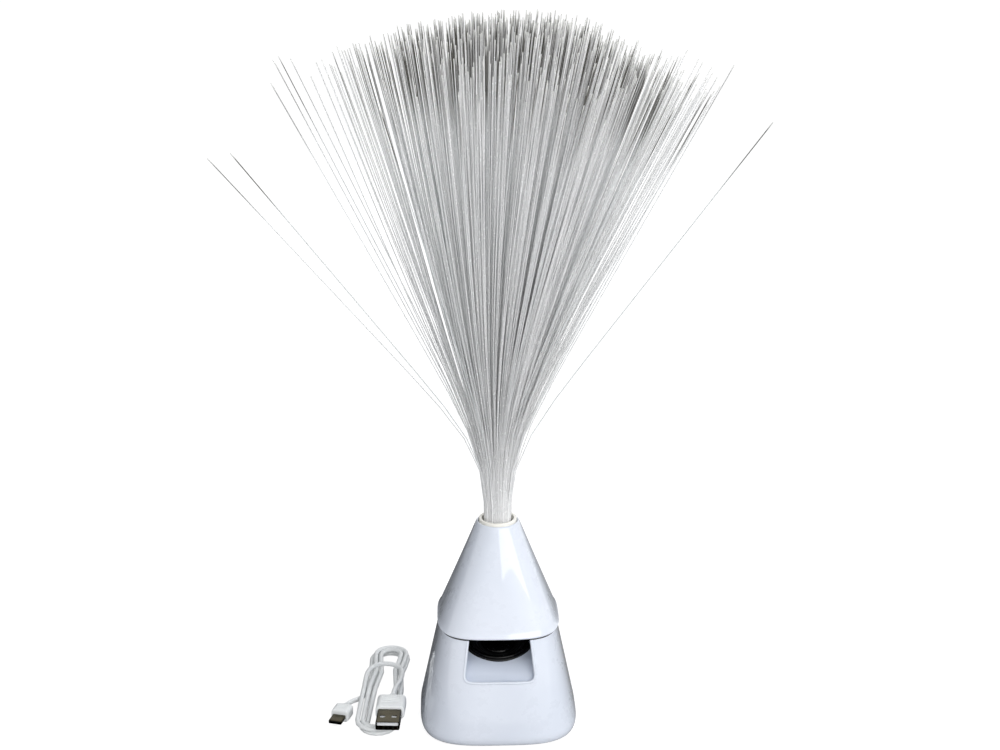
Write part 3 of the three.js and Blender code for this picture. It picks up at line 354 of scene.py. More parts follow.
class Material(Tree):
    """A material with a Principled shader. Its patterns follow the object's own coordinates."""

    def __init__(self):
        self.material = bpy.data.materials.new("look")
        self.material.use_nodes = True
        super().__init__(self.material.node_tree)
        self.shader = self.tree.nodes["Principled BSDF"]
        self.coordinates = self.node("TexCoord").outputs["Object"]
        self.relief = None

    def set(self, **values):
        """Feeds the shader's inputs, with a line in the name for each space."""
        for key, value in values.items():
            self.feed(value, self.shader.inputs[key.replace("_", " ").title().replace("Ior", "IOR")])

    def noise(self, scale, detail=2.0, roughness=0.5, along=None):
        """Noise whose features are about 1/scale metres, or have a scale along each axis."""
        vector = self.coordinates
        if along:
            vector = self.node("Mapping", {"Vector": vector, "Scale": along}).outputs["Vector"]
        inputs = {"Vector": vector, "Scale": scale, "Detail": detail, "Roughness": roughness}
        return self.node("TexNoise", inputs).outputs["Fac"]

    def between(self, noise, low, high):
        return self.mapped(noise, NOISE_LOW, NOISE_HIGH, low, high)

    def bump(self, height, strength, distance):
        """A relief, on top of an earlier one."""
        inputs = {"Strength": strength, "Distance": distance, "Height": height}
        if self.relief:
            inputs["Normal"] = self.relief
        self.relief = self.node("Bump", inputs).outputs["Normal"]
        self.set(Normal=self.relief)


def moulded(light, dark, rough, grain, relief=2e-5, mottle=60, **shader):
    """Moulded plastic or rubber: slow mottling, a fine grain of some size in metres, uneven polish."""
    m = Material()
    m.set(Base_Color=m.mixed(m.between(m.noise(mottle, 3), 0, 1), light, dark),
          Roughness=m.between(m.noise(mottle * 2.3, 4, 0.6), *rough), **shader)
    m.bump(m.noise(1 / grain, 3, 0.6), 0.35, relief)
    return m.material


def metal(light, dark, rough, along):
    """Drawn or plated metal with fine marks along one direction."""
    m = Material()
    marks = m.noise(900, 4, 0.7, along=along)
    m.set(Base_Color=m.mixed(m.between(m.noise(150, 3), 0, 1), light, dark),
          Roughness=m.between(marks, *rough), Metallic=1.0)
    m.bump(marks, 0.25, 2e-5)
    return m.material


def housing_material(light, dark, rough, coat=1.0):
    """Glossy moulded shell: faint waves from moulding, dust in the dull places, a lilac white."""
    m = Material()
    tone = m.mixed(m.mapped(m.noise(22, 3), 0.32, 0.68, 0, 1), light, dark)
    specks = m.mapped(m.noise(2600, 1), 0.70, 0.76, 0, 0.10)
    m.set(Base_Color=m.mixed(specks, tone, 0xB9BCC6), Roughness=m.between(m.noise(90, 5, 0.65), *rough),
          Coat_Weight=coat, Coat_Roughness=0.02, Specular_Ior_Level=0.3)
    m.bump(m.noise(60, 1), 0.1, 0.0003)
    m.bump(m.noise(1500, 2), 0.1, 2e-5)
    return m.material


def fibre_material(light, dark, end_shade, tip):
    """Drawn clear fibre with a tone of its own, streaks, a lower part lightened as painted light, an upper
    end darkened as painted shade, and a milky tip.
    """
    m = Material()
    own, end = [m.node("Attribute", attribute_name=name, attribute_type="GEOMETRY").outputs["Fac"]
                for name in ("tone", "along")]
    streaks = m.mapped(m.noise(1, 3, 0.6, along=(900, 900, 45)), 0.35, 0.65, 0, 0.4)
    # Painted shade for the upper end: the dark end colour for fibres of low tone, the light colour for those
    # of high tone.
    upper = m.mixed(m.mapped(own, 0.5, 1.0, 0, 1), end_shade, light)
    tone = m.mixed(own, dark, light)
    # Painted light: every fibre is lightened over its lowest third, for the bright light on the dense neck.
    tone = m.mixed(m.mapped(end, 0.1, 0.35, 0.9, 0), tone, light)
    tone = m.mixed(streaks, tone, light)
    tone = m.mixed(m.mapped(end, 0.87, 0.93, 0, 1), tone, upper)
    tone = m.mixed(m.mapped(end, 0.985, 1.0, 0, 1), tone, tip)
    m.set(Base_Color=tone, Roughness=m.between(m.noise(400, 2), 0.12, 0.3), IOR=1.49,
          Transmission_Weight=m.mapped(own, 0.6, 1.0, 0.05, 0.25), Coat_Weight=0.7, Coat_Roughness=0.12,
          Specular_Ior_Level=0.7, Sheen_Weight=0.3, Sheen_Roughness=0.4)
    m.bump(m.noise(1, 2, 0.5, along=(2500, 2500, 120)), 0.2, 4e-5)
    return m.material


def cone_material():
    m = Material()
    m.set(Base_Color=m.mixed(m.noise(700, 4, 0.7), 0x0C0C0D, 0x1A1A1B),
          Roughness=m.between(m.noise(900, 3), 0.3, 0.5))
    m.bump(m.noise(1800, 3, 0.7), 0.4, 6e-5)
    return m.material


def board_material():
    """Solder mask over tracks: a cellular pattern for the copper pour under green lacquer, pale pads."""
    m = Material()
    cells = m.node("TexVoronoi", {"Scale": 260, "Vector": m.coordinates},
                   feature="DISTANCE_TO_EDGE", distance="MANHATTAN")
    pads = m.node("TexVoronoi", {"Scale": 330, "Vector": m.coordinates}, feature="F1")
    tracks = m.mapped(cells.outputs["Distance"], 0.05, 0.09, 0, 1)
    green = m.mixed(tracks, 0x123F2A, 0x1F6B47)
    m.set(Base_Color=m.mixed(m.mapped(pads.outputs["Distance"], 0.13, 0.15, 1, 0), green, 0xC9C6B8),
          Roughness=m.between(m.noise(300, 2), 0.25, 0.45))
    m.bump(tracks, 0.2, 5e-5)
    return m.material


def ribbed_material(light, dark, pitch, relief):
    m = Material()
    scale = 1 / pitch / (2 * pi)
    wave = m.node("TexWave", {"Scale": scale, "Distortion": 0.2, "Vector": m.coordinates},
                  wave_type="BANDS", bands_direction="X")
    m.set(Base_Color=m.mixed(m.noise(150, 4), light, dark), Roughness=m.between(m.noise(500, 3), 0.6, 0.85))
    m.bump(wave.outputs["Fac"], 0.6, relief)
    return m.material


LOOKS = {
    "housing": housing_material(0xE6EBF5, 0xDDE3EE, (0.24, 0.34)),
    # A darker, duller copy of the housing: painted shade, for the deck that lies in the shade of the notch.
    "housing_inner": housing_material(0xCAD1DE, 0xBDC5D4, (0.3, 0.45), coat=0.05),
    "ivory": moulded(0xFEFCF5, 0xF8F5EB, (0.18, 0.3), 0.0008, Coat_Weight=0.8, Coat_Roughness=0.08),
    "black_plastic": moulded(0x1B1C1E, 0x111214, (0.35, 0.55), 0.0005, 4e-5),
    "speaker_rubber": moulded(0x131314, 0x0B0B0C, (0.32, 0.5), 0.0006, 3e-5),
    "speaker_gloss": moulded(0x020202, 0x040404, (0.2, 0.32), 0.002, 1e-5, Specular_Ior_Level=0.2),
    "cone": cone_material(),
    "copper": metal(0xB87333, 0x9C5A34, (0.25, 0.45), (1, 1, 12)),
    "magnet": moulded(0x3B3C3E, 0x2B2C2E, (0.5, 0.75), 0.0004, 5e-5, Metallic=0.4),
    "screws": metal(0xA9A9A6, 0x84847F, (0.22, 0.4), (8, 8, 1)),
    "boards": board_material(),
    "clear_plastic": moulded(0xE9EDF2, 0xDDE3EA, (0.05, 0.14), 0.001, 1e-5, Transmission_Weight=0.6),
    "resin": moulded(0x9A9F9C, 0x7D8280, (0.15, 0.35), 0.0007, 5e-5),
    "sleeve": moulded(0x3A3C3C, 0x2B2D2D, (0.4, 0.6), 0.0006, 4e-5),
    # The third colour is painted shade, for the fibres' upper ends.
    "fibres": fibre_material(0xFFFFFF, 0xD6DBDB, 0x4C4A43, 0xF4F4F0),
    "battery_wrap": moulded(0x5A7FB0, 0x4A6C9C, (0.2, 0.4), 0.0012, 8e-5),
    "plug_metal": metal(0x57513F, 0x3C382C, (0.14, 0.3), (6, 1, 1)),
    "red_wire": moulded(0x9A2B24, 0x7F201B, (0.3, 0.5), 0.0006, 3e-5),
    "black_wire": moulded(0x1A1A1B, 0x101011, (0.3, 0.5), 0.0006, 3e-5),
    "pad_rubber": ribbed_material(0x222223, 0x161617, 0.0016, 0.0002),
    "cord": moulded(0xF8FAFA, 0xEFF1F1, (0.28, 0.45), 0.0007, 3e-5, mottle=120),
    "plug_tongue": moulded(0xF0F1F3, 0xE2E4E7, (0.3, 0.45), 0.0006, 2e-5),
}
for look_name, look_material in LOOKS.items():
    look_material.name = look_name


def dress(obj, look, body="lamp"):
    """Gives an object its look and the body it rides on."""
    obj.data.materials.clear()
    obj.data.materials.append(LOOKS[look])
    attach(obj, body)
    return obj


# Sizes shared with the solids

TOUCH = 0.3  # gap between pieces that touch
OVERRUN = 4  # how far a cutting shape runs past what it cuts
WALL = 2.2
EDGE_Z, EDGE_HALF, BELLY_Z, BELLY_HALF = 0.8, 37.4, 4.6, 39.5
BASE_TOP, BASE_TOP_HALF, BASE_SQUARE = 54, 29.1, 3.5
RIM_Z, RIM_HALF = 54.4, 30.5
COVER_TOP, COVER_TOP_HALF, COVER_SQUARE = 105.8, 10.6, 3.4
COLLAR_BORE, COLLAR_WALL, COLLAR_TOP, COLLAR_LENGTH = 7.9, 1.55, 106.6, 14
NOTCH_TOP_HALF, NOTCH_BOTTOM_HALF, NOTCH_FLOOR = 15.5, 18, 32.6
SPEAKER_TILT, SPEAKER_Y, SPEAKER_Z = radians(15), -6.4, 44.7
FRAME_RADIUS, FLANGE = 18, 1
POT_TOP, POT_BOTTOM = 103.8, 82.2
LOWER_SLOPE = (BELLY_HALF - BASE_TOP_HALF) / (BASE_TOP - BELLY_Z)
COVER_SLOPE = (RIM_HALF - COVER_TOP_HALF) / (COVER_TOP - RIM_Z)
NOTCH_LEAN = (NOTCH_BOTTOM_HALF - NOTCH_TOP_HALF) / (BASE_TOP - NOTCH_FLOOR)


def lower_half(z):
    if z >= BELLY_Z:
        return BELLY_HALF - LOWER_SLOPE * (z - BELLY_Z)
    share = (BELLY_Z - z) / (BELLY_Z - EDGE_Z)
    return EDGE_HALF + (BELLY_HALF - EDGE_HALF) * sqrt(max(0, 1 - share * share))


def cover_half(z):
    return RIM_HALF - COVER_SLOPE * (z - RIM_Z)


def cover_square(z):
    """The cover's squareness, which runs out into a circle at its top."""
    return COVER_SQUARE + (2 - COVER_SQUARE) * (z - RIM_Z) / (COVER_TOP - RIM_Z)


def notch_half(z):
    return NOTCH_TOP_HALF + NOTCH_LEAN * (BASE_TOP - z)


def wall_y(inset, x, z):
    """How far back or front the lower body reaches, some way in from its outside."""
    half = lower_half(z) - inset
    return half * (1 - abs(x / half) ** BASE_SQUARE) ** (1 / BASE_SQUARE)


def node_box(node):
    """A node's lowest and highest corners in millimetres."""
    return [[v / MM for v in corner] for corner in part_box(node)]


def axis_of(node):
    """Where the line along Y through a node's middle crosses Y = 0."""
    low, high = node_box(node)
    return Vector(((low[0] + high[0]) / 2, 0, (low[2] + high[2]) / 2))


# Housing

FOOT_SHARES = (0, 0.06, 0.14, 0.25, 0.4, 0.55, 0.7, 0.85)
NOTCH_CORNER = 4.4  # from the corner to each end of its curve

# Openings in the back wall: middle across and up, half width and height, corner radius
SOCKET_OPENING, SLIDER_OPENING = (0, 18.25, 4.35, 1.95, 1.2), (-14, 18.7, 3.5, 1.75, 0.5)
BUTTON_OPENING, STATUS_OPENING = (14, 18.7, 2.95, 2.95, 2.95), (7.4, 18.25, 1.15, 1.15, 1.15)
BACK_CUT_FROM = 28


def notch_outline(steps=8):
    """The notch's outline in X and Z, from its upper left down and round to its upper right."""
    corner_z, top = NOTCH_FLOOR + NOTCH_CORNER, BASE_TOP + OVERRUN
    right = bent((notch_half(corner_z), corner_z), (NOTCH_BOTTOM_HALF, NOTCH_FLOOR),
                 (NOTCH_BOTTOM_HALF - NOTCH_CORNER, NOTCH_FLOOR), steps)
    left = [(-x, z) for x, z in right]
    return [(-notch_half(top), top)] + left + right[::-1] + [(notch_half(top), top)]


def cut_notch(obj):
    front, back = -BELLY_HALF - OVERRUN, -BASE_TOP_HALF + WALL + OVERRUN
    cut(obj, pushed("notch_cutter", notch_outline(), 1, front, back))


def make_lower_body():
    top_round, step = 1.3, 0.2
    heights = [EDGE_Z + (BELLY_Z - EDGE_Z) * share for share in FOOT_SHARES]
    heights += even(BELLY_Z, BASE_TOP - top_round, 24)
    rings = [square_ring(lower_half(z), BASE_SQUARE, z) for z in heights]
    for dx, dz in arc(-top_round, -top_round, top_round, 15, 90, 6):
        rings.append(square_ring(lower_half(BASE_TOP - top_round) + dx, BASE_SQUARE, BASE_TOP + dz))
    rings += [square_ring(lower_half(z) - WALL, BASE_SQUARE, z) for z in even(BASE_TOP, BELLY_Z, 8)]
    rings += [square_ring(EDGE_HALF - WALL / 2, BASE_SQUARE, z) for z in (BELLY_Z - step, EDGE_Z)]
    body = skin("lower_shell", rings, closed=True)
    cut_notch(body)
    for x, z, half_x, half_z, corner in (SOCKET_OPENING, SLIDER_OPENING, BUTTON_OPENING, STATUS_OPENING):
        outline = [(px + x, pz + z) for px, pz in rounded(half_x, half_z, corner)]
        cut(body, pushed("back_cutter", outline, 1, BACK_CUT_FROM, BELLY_HALF + OVERRUN))
    dress(body, "housing")
    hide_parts("lower_body")


def make_upper_cover():
    rim_round, crown_round, crown_out = 0.9, 0.8, 0.1
    bore = COLLAR_BORE + COLLAR_WALL + TOUCH
    bore_z = COVER_TOP - (bore + WALL - COVER_TOP_HALF) / COVER_SLOPE
    rings = [square_ring(RIM_HALF + dx, COVER_SQUARE, RIM_Z + dz)
             for dx, dz in arc(-rim_round, rim_round, rim_round, -90, 0, 6)]
    rings += [square_ring(cover_half(z), cover_square(z), z)
              for z in even(RIM_Z + rim_round, COVER_TOP - rim_round, 36)[1:]]
    rings += [square_ring(COVER_TOP_HALF + dx + crown_out, 2, COVER_TOP + dz)
              for dx, dz in arc(-crown_round, -crown_round, crown_round, 25, 90, 4)]
    rings += [square_ring(bore, 2, z) for z in (COVER_TOP - TOUCH, bore_z)]
    rings += [square_ring(cover_half(z) - WALL, cover_square(z), z) for z in even(bore_z, RIM_Z, 12)]
    cover = skin("cover_shell", rings, closed=True)
    dress(cover, "housing")
    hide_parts("upper_cover")


def make_collar():
    rise, edge, inner_edge = 0.6, 0.55, 0.5
    out, low, top = COLLAR_BORE + COLLAR_WALL, COLLAR_TOP - COLLAR_LENGTH, COLLAR_TOP + rise
    profile = [(COLLAR_BORE, low), (out, low)] + arc(out - edge, top - edge, edge, 0, 90, 6)
    profile += arc(COLLAR_BORE + inner_edge, top - inner_edge, inner_edge, 90, 180, 6)
    collar = turned("collar", profile, 128)
    dress(collar, "ivory")
    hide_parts("collar_ring")


def make_gap_shadow():
    """A dark band between the body's round top edge and the cover's rim: painted shadow, standing in for the
    shadow in the gap under the rim.
    """
    below, above, width, inset, recess, taper = 0.7, 0.25, 1.2, 0.05, 0.12, 0.1
    low, top = BASE_TOP - below, BASE_TOP + above
    out, upper = lower_half(low) - inset, lower_half(BASE_TOP) - recess
    corners = ((out - width, low), (out, low), (upper, BASE_TOP), (upper - taper, top), (upper - width, top))
    gap_shadow_band = skin("gap_shadow", [square_ring(half, BASE_SQUARE, z) for half, z in corners], closed=True)
    cut_notch(gap_shadow_band)
    dress(gap_shadow_band, "speaker_rubber")


def make_notch_lip():
    """The rounded edge of the notch, half sunk in the shell's face."""
    radius, sunk, below_top, spacing = 0.75, 0.45, 0.6, 1.2
    top = BASE_TOP - below_top
    line = [(-notch_half(top), top)]
    line += [point for point in notch_outline(10) if point[1] <= top]
    line.append((notch_half(top), top))
    dense = [line[0]]
    for a, b in zip(line, line[1:]):
        steps = max(1, int(dist(a, b) / spacing))
        dense += list(zip(even(a[0], b[0], steps), even(a[1], b[1], steps)))[1:]
    centres = [(x, -wall_y(sunk, x, z), z) for x, z in dense]
    dress(skin("notch_lip", tube(centres, radius, 14), sharp=60), "housing")


make_lower_body()
make_upper_cover()
make_collar()
make_gap_shadow()
make_notch_lip()


# Speaker deck

DECK_THICK, RING_WALL, RING_RADIUS, RING_FOOT, THROAT, MOUTH = 2.6, 1.8, 18.6, 28.6, 15.8, 18.2
SEAT_BORE, ROOM_WAIST_Z = 15.9, 40
SCREW_X, SCREW_Y, SCREW_HOLE, LEAD_HOLE_Y, LEAD_HOLE = 22.6, 7, 1.75, 22.5, 2.6


def deck_z(y):
    return SPEAKER_Z + (y - SPEAKER_Y) * tan(SPEAKER_TILT)


def tilted(obj):
    place(obj, move((0, SPEAKER_Y, SPEAKER_Z), SPEAKER_TILT, "X"))
    return obj


def deck_top():
    """The deck's upper line in Y and Z."""
    drop, ledge, scoop, knee_below, knee_above, knee_reach = 0.3, 1.2, 1.0, 2.6, 3.6, 19.4
    foot_y, foot_z = WALL - lower_half(NOTCH_FLOOR), NOTCH_FLOOR - drop
    knee_y = SPEAKER_Y - knee_reach * cos(SPEAKER_TILT)
    slope = (deck_z(knee_y) - foot_z) / (knee_y - foot_y)
    below_y, above_y = knee_y - knee_below, knee_y + knee_above
    line = [(-BELLY_HALF, foot_z)]
    line += bent((foot_y - ledge, foot_z), (foot_y, foot_z), (foot_y + scoop, foot_z + scoop), 6)
    line += bent((below_y, foot_z + slope * (below_y - foot_y)), (knee_y, deck_z(knee_y)),
                 (above_y, deck_z(above_y)), 10)
    line.append((BELLY_HALF, deck_z(BELLY_HALF)))
    return line


def ring_line(grow):
    """The wall round the speaker, seen from above: straight sides from the notch and a round back."""
    front, start, radius = -lower_half(NOTCH_FLOOR), -acos(THROAT / RING_RADIUS), RING_RADIUS + grow
    back = [(radius * cos(a), SPEAKER_Y + radius * sin(a)) for a in even(start, pi - start, 64)]
    return [(MOUTH + grow, front)] + back + [(-MOUTH - grow, front)]


def make_deck():
    top, ring_top = deck_top(), BASE_TOP - TOUCH
    plate = top + [(y, z - DECK_THICK) for y, z in reversed(top)]
    deck = pushed("notch_deck", plate, 0, -BELLY_HALF, BELLY_HALF)
    wall = pushed("ring_wall", ring_line(RING_WALL), 2, RING_FOOT, ring_top)
    cut(wall, pushed("ring_inside", ring_line(0), 2, RING_FOOT - OVERRUN, BASE_TOP + OVERRUN))
    above = [(y, z - DECK_THICK / 2) for y, z in top]
    above += [(BELLY_HALF, 2 * BASE_TOP), (-BELLY_HALF, 2 * BASE_TOP)]
    combine(wall, pushed("above", above, 0, -BELLY_HALF - OVERRUN, BELLY_HALF + OVERRUN), "INTERSECT")
    combine(deck, wall, "UNION")
    heights = (RING_FOOT, ROOM_WAIST_Z, ring_top)
    room = [square_ring(lower_half(z) - WALL - TOUCH, BASE_SQUARE, z) for z in heights]
    combine(deck, skin("room", room), "INTERSECT")
    seat_out, seat_z = FRAME_RADIUS + TOUCH, -FLANGE - TOUCH
    seat = [(0, -OVERRUN), (SEAT_BORE, -OVERRUN), (SEAT_BORE, seat_z), (seat_out, seat_z),
            (seat_out, DECK_THICK), (0, DECK_THICK)]
    cut(deck, tilted(turned("seat", seat, 128, closed=False)))
    for x, y, radius in ((SCREW_X, SCREW_Y, SCREW_HOLE), (-SCREW_X, SCREW_Y, SCREW_HOLE),
                         (0, LEAD_HOLE_Y, LEAD_HOLE)):
        cut(deck, pushed("hole", arc(x, y, radius, 0, 360, 32)[:-1], 2, RING_FOOT, BASE_TOP + 2 * OVERRUN))
    # The darker inner look is painted shade.
    dress(deck, "housing_inner")
    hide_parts("speaker_deck")


make_deck()


# Speaker, turned round its own axis from its front face down

CONE_IN, CONE_OUT, CONE_DROP, CONE_DEPTH = 5.2, 14.1, 0.9, 4.4


def cone_z(r):
    return -CONE_DROP - CONE_DEPTH * (CONE_OUT - r) / (CONE_OUT - CONE_IN)


def make_speaker_frame():
    ledge, ledge_depth, round_edge, chamfer, yoke_bore = 17.0, 0.5, 0.35, 0.12, 5.8
    neck, bore, depth, wall, soft = 15.6, 11.5, 9.2, 0.8, 0.2
    profile = [(ledge, -ledge_depth), (ledge, -chamfer), (ledge + chamfer, 0)]
    profile += arc(FRAME_RADIUS - round_edge, -round_edge, round_edge, 90, 0, 4)
    profile += [
        (FRAME_RADIUS, -FLANGE), (neck, -FLANGE), (neck - soft, -FLANGE - 2 * soft),
        (bore + wall, -depth + soft), (bore + wall - soft, -depth - wall), (yoke_bore, -depth - wall),
        (yoke_bore, -depth), (bore, -depth), (neck - wall, -FLANGE), (neck - wall, -ledge_depth),
    ]
    basket = tilted(turned("speaker_basket", profile, 128))
    dress(basket, "black_plastic")
    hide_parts("speaker_frame")


def make_gasket():
    foot, inner, outer, edge, z, lift = 16.78, 17.05, 17.6, 0.2, 0.18, 0.02
    profile = [(foot, lift)] + arc(inner, z, edge, 180, 90, 3) + arc(outer, z, edge, 90, 0, 3)
    gasket = turned("speaker_gasket", profile + [(outer + edge, lift)], 128)
    dress(tilted(gasket), "speaker_rubber")


def make_surround():
    inner, outer, z, rise, wall = 14.4, 16.7, -0.2, 1.2, 0.5
    middle, half = (inner + outer) / 2, (outer - inner) / 2
    profile = arc(middle, z, half, 180, 0, 16, rise) + arc(middle, z, half - wall, 0, 180, 12, rise - wall)
    roll = tilted(turned("speaker_roll", profile, 128))
    dress(roll, "speaker_gloss")
    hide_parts("speaker_surround")


def make_cone():
    skin_thick, height, first, last, fade, turn = 0.6, 0.1, 9.2, 13.3, 0.6, 3.6
    profile = []
    for r in even(CONE_IN, CONE_OUT, 48):
        share = smoothstep(first, first + fade, r) * (1 - smoothstep(last, last + fade, r))
        profile.append((r, cone_z(r) + height * share * sin((r - first) * turn)))
    profile += [(r, cone_z(r) - skin_thick) for r in (CONE_OUT, CONE_IN)]
    cone = tilted(turned("speaker_diaphragm_cone", profile, 128, 60))
    dress(cone, "cone", "speaker_diaphragm")
    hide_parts("speaker_cone")


def make_dust_cap():
    radius, rise, wall = 8.6, 2.6, 0.5
    low = cone_z(radius) + TOUCH
    profile = arc(0, low, radius, 0, 90, 20, rise) + arc(0, low, radius - wall, 90, 0, 14, rise - wall)
    cap = tilted(turned("speaker_dome", profile, 128, 50))
    dress(cap, "speaker_gloss", body="speaker_diaphragm")
    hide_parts("speaker_dust_cap")


make_speaker_frame()
make_gasket()
make_surround()
make_cone()
make_dust_cap()


# Controls at the back

def turned_round_y(name, profile, node):
    """A profile of (radius, y) turned round the line along Y through a node's middle."""
    obj = turned(name, profile, 64, closed=False)
    place(obj, move(axis_of(node), -pi / 2, "X"))
    return obj


def make_mode_button():
    """A cap with a round edge and a shallow dish, on a flange that holds it behind the wall."""
    low, high = node_box("mode_button")
    back, front = low[1], high[1]
    cap, flange, flange_thick, edge, dish, chamfer = 2.6, 3.3, 0.7, 0.5, 0.3, 0.1
    step, rim = back + flange_thick, cap - edge - chamfer
    profile = [(0, back), (flange - chamfer, back), (flange, back + chamfer), (flange, step - chamfer),
               (flange - chamfer, step), (cap, step)]
    profile += arc(cap - edge, front - edge, edge, 0, 90, 6)
    profile += [(rim * share, front - dish * (1 - share ** 2)) for share in even(1, 0, 8)]
    button = turned_round_y("mode_cap", profile, "mode_button")
    dress(button, "housing", body="mode_key")
    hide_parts("mode_button")


def make_slide_knob():
    corner, edge, pitch, groove_half, groove_depth = 0.35, 0.2, 0.95, 0.2, 0.4
    low, high = node_box("power_switch_knob")
    half_x, half_z = (high[0] - low[0]) / 2, (high[2] - low[2]) / 2
    knob = bar("slide_knob", half_x, half_z, corner, low[1], high[1], edge=edge)
    for x in (-pitch, 0, pitch):
        cut(knob, block("groove", groove_half, high[1] - groove_depth, high[1] + OVERRUN,
                        -half_z - OVERRUN, half_z + OVERRUN, x))
    place(knob, move(axis_of("power_switch_knob")))
    dress(knob, "black_plastic", body="power_switch")
    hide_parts("power_switch_knob")


def make_socket():
    """A folded shell with its mouth at the wall, and in it an insert, a tongue and five contacts."""
    margin, corner, wall, gap, insert_thick, inset = 0.08, 0.85, 0.35, 0.45, 1.2, 0.2
    tongue_half, tongue_mouth, pitch = 2.4, 0.9, 0.75
    low, high = node_box("usb_socket")
    half_x, half_z = (high[0] - low[0]) / 2 - margin, (high[2] - low[2]) / 2 - margin
    depth = high[1] - low[1]
    insert_y = depth - inset - insert_thick
    tongue_end = insert_y + 0.1
    shell = folded_shell("socket_shell", half_x, half_z, corner, wall, 0, depth)
    insert = bar("socket_insert", half_x - gap, half_z - gap, 0.4, insert_y, depth - inset, edge=0.1)
    tongue = bar("socket_tongue", tongue_half, 0.3, 0.1, tongue_mouth, tongue_end, z=0.35, edge=0.08)
    turn = move(axis_of("usb_socket") + Vector((0, high[1], 0)), pi)
    for obj, look in ((shell, "plug_metal"), (insert, "black_plastic"), (tongue, "black_plastic")):
        place(obj, turn)
        dress(obj, look)
    for i in range(5):
        strip = bar(f"socket_contact_{i + 1}", 0.2, 0.05, 0.02, tongue_mouth + 0.3, tongue_end)
        place(strip, turn @ move(((i - 2) * pitch, 0, -0.02)))
        dress(strip, "copper")
    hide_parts("usb_socket")


def make_status_lens():
    low, high = node_box("status_light")
    back, front, radius, crown = low[1], high[1], 0.85, 0.35
    profile = [(0, back), (radius, back)] + arc(0, front - crown, radius, 0, 90, 6, crown)
    lens = turned_round_y("status_lens", profile, "status_light")
    dress(lens, "clear_plastic")
    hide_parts("status_light")


make_mode_button()
make_slide_knob()
make_socket()
make_status_lens()


# Charging lead

CORD = 2.4
HANK_X, HANK_Y, HANK_LEAN = -58.9, 19.4, radians(3.7)
HALF_LENGTH, INNER_HALF, STEP, LOOPS = 46.4, 4.8, 2.85, 4
DRAW_IN, WAIST, WAIST_LENGTH, LIFT = 2, 17, 10, 0.05
TURN_STEPS, TAIL_STEPS = 32, 4
OUTER = INNER_HALF + STEP * LOOPS / 2
LIE = CORD / 2 + LIFT
TOP_Z = LIE + STEP
OVER_Z = TOP_Z + STEP + 2 * TOUCH
USB_HALF_Z, MICRO_HALF_Z = 3.7, 3.2
USB_Z = TOP_Z + CORD / 2 + TOUCH + USB_HALF_Z
MICRO_Z = MICRO_HALF_Z

# Routes of the two tails, given as right, along and up from the hank's middle
USB_TAIL = [
    (-OUTER, CORD + TOUCH, TOP_Z), (-OUTER, 5.2, TOP_Z), (-10.2, 8.6, 5.5), (-9.2, 12.6, 6.7),
    (-6.5, 16.2, OVER_Z), (-2.4, 18.3, OVER_Z), (2.2, 18, OVER_Z), (6, 15.7, OVER_Z), (8.2, 11.7, OVER_Z),
    (8.9, 6.8, OVER_Z), (8.6, 1.5, OVER_Z), (7.8, -4, 7.8), (7.1, -9.5, 8.7), (6.6, -14.5, USB_Z),
    (6.5, -18, USB_Z), (6.5, -20.4, USB_Z),
]
MICRO_TAIL = [
    (-OUTER, -CORD - TOUCH, LIE), (-OUTER, -5.2, LIE), (-11, -8.2, 1.6), (-12.7, -11.4, 2.3),
    (-14.9, -14.3, 2.9), (-16.6, -17.3, MICRO_Z), (-17.2, -19.8, MICRO_Z),
]


def from_hank(point):
    right, along, up = point
    c, s = cos(HANK_LEAN), sin(HANK_LEAN)
    return (HANK_X + right * c + along * s, HANK_Y - right * s + along * c, up)


def drawn_in(along):
    return DRAW_IN * exp(-(((along - WAIST) / WAIST_LENGTH) ** 2))


def hank_point(loops):
    """The hank's centre line after some loops: in on the floor, up a layer at the left, out on top."""
    turn = LOOPS / 2
    half = INNER_HALF + STEP * abs(loops - turn)
    climb = min(1, max(0, (loops - turn) * 2 + 0.5))
    up = LIE + climb * STEP
    run = HALF_LENGTH - OUTER
    phase = loops % 1
    if phase <= 1 / 8 or phase >= 7 / 8:
        along = run * 8 * (phase - 1 if phase > 1 / 2 else phase)
        return (-half + drawn_in(along), along, up)
    if 3 / 8 <= phase <= 5 / 8:
        along = run * 8 * (1 / 2 - phase)
        return (half - drawn_in(along), along, up)
    back = phase < 1 / 2
    angle = (phase - (1 / 8 if back else 5 / 8)) * 4 * pi
    draw = drawn_in(run if back else -run)
    side = -1 if back else 1
    return (side * (half - draw) * cos(angle), side * -(run + half * sin(angle)), up)


def cord_line():
    turns = [hank_point(i / TURN_STEPS) for i in range(LOOPS * TURN_STEPS + 1)]
    line = smooth_line(MICRO_TAIL[::-1] + [turns[0]], TAIL_STEPS)[:-1]
    line += [Vector(p) for p in turns]
    line += smooth_line([turns[-1]] + USB_TAIL, TAIL_STEPS)[1:]
    return [Vector(from_hank(p)) for p in line]


def plug_place(tail):
    end, before = Vector(from_hank(tail[-1])), Vector(from_hank(tail[-2]))
    ahead = Vector((end.x - before.x, end.y - before.y, 0)).normalized()
    heading = atan2(ahead.x, -ahead.y)
    return move(end + ahead * TOUCH, heading)


def ribbed_neck(name, radius, end_radius, length, ribs, sink):
    """The moulded strain relief from the cord to the plug's body, with grooves round it."""
    groove_depth, lip, clearance, steps = 0.28, 0.4, 0.03, ribs * 8
    profile = []
    for t in even(0, 1, steps):
        groove = groove_depth * max(0, sin(t * ribs * 2 * pi)) * (1 - smoothstep(0.85, 1, t))
        profile.append((radius + (end_radius - radius) * t ** 1.5 - groove, -t * length))
    bore, end = CORD / 2 + clearance, -length - sink
    neck = turned(name, profile + [(end_radius - lip, end), (bore, end), (bore, 0.0)], 40, 60)
    place(neck, move((0, 0, 0), -pi / 2, "X"))
    return neck


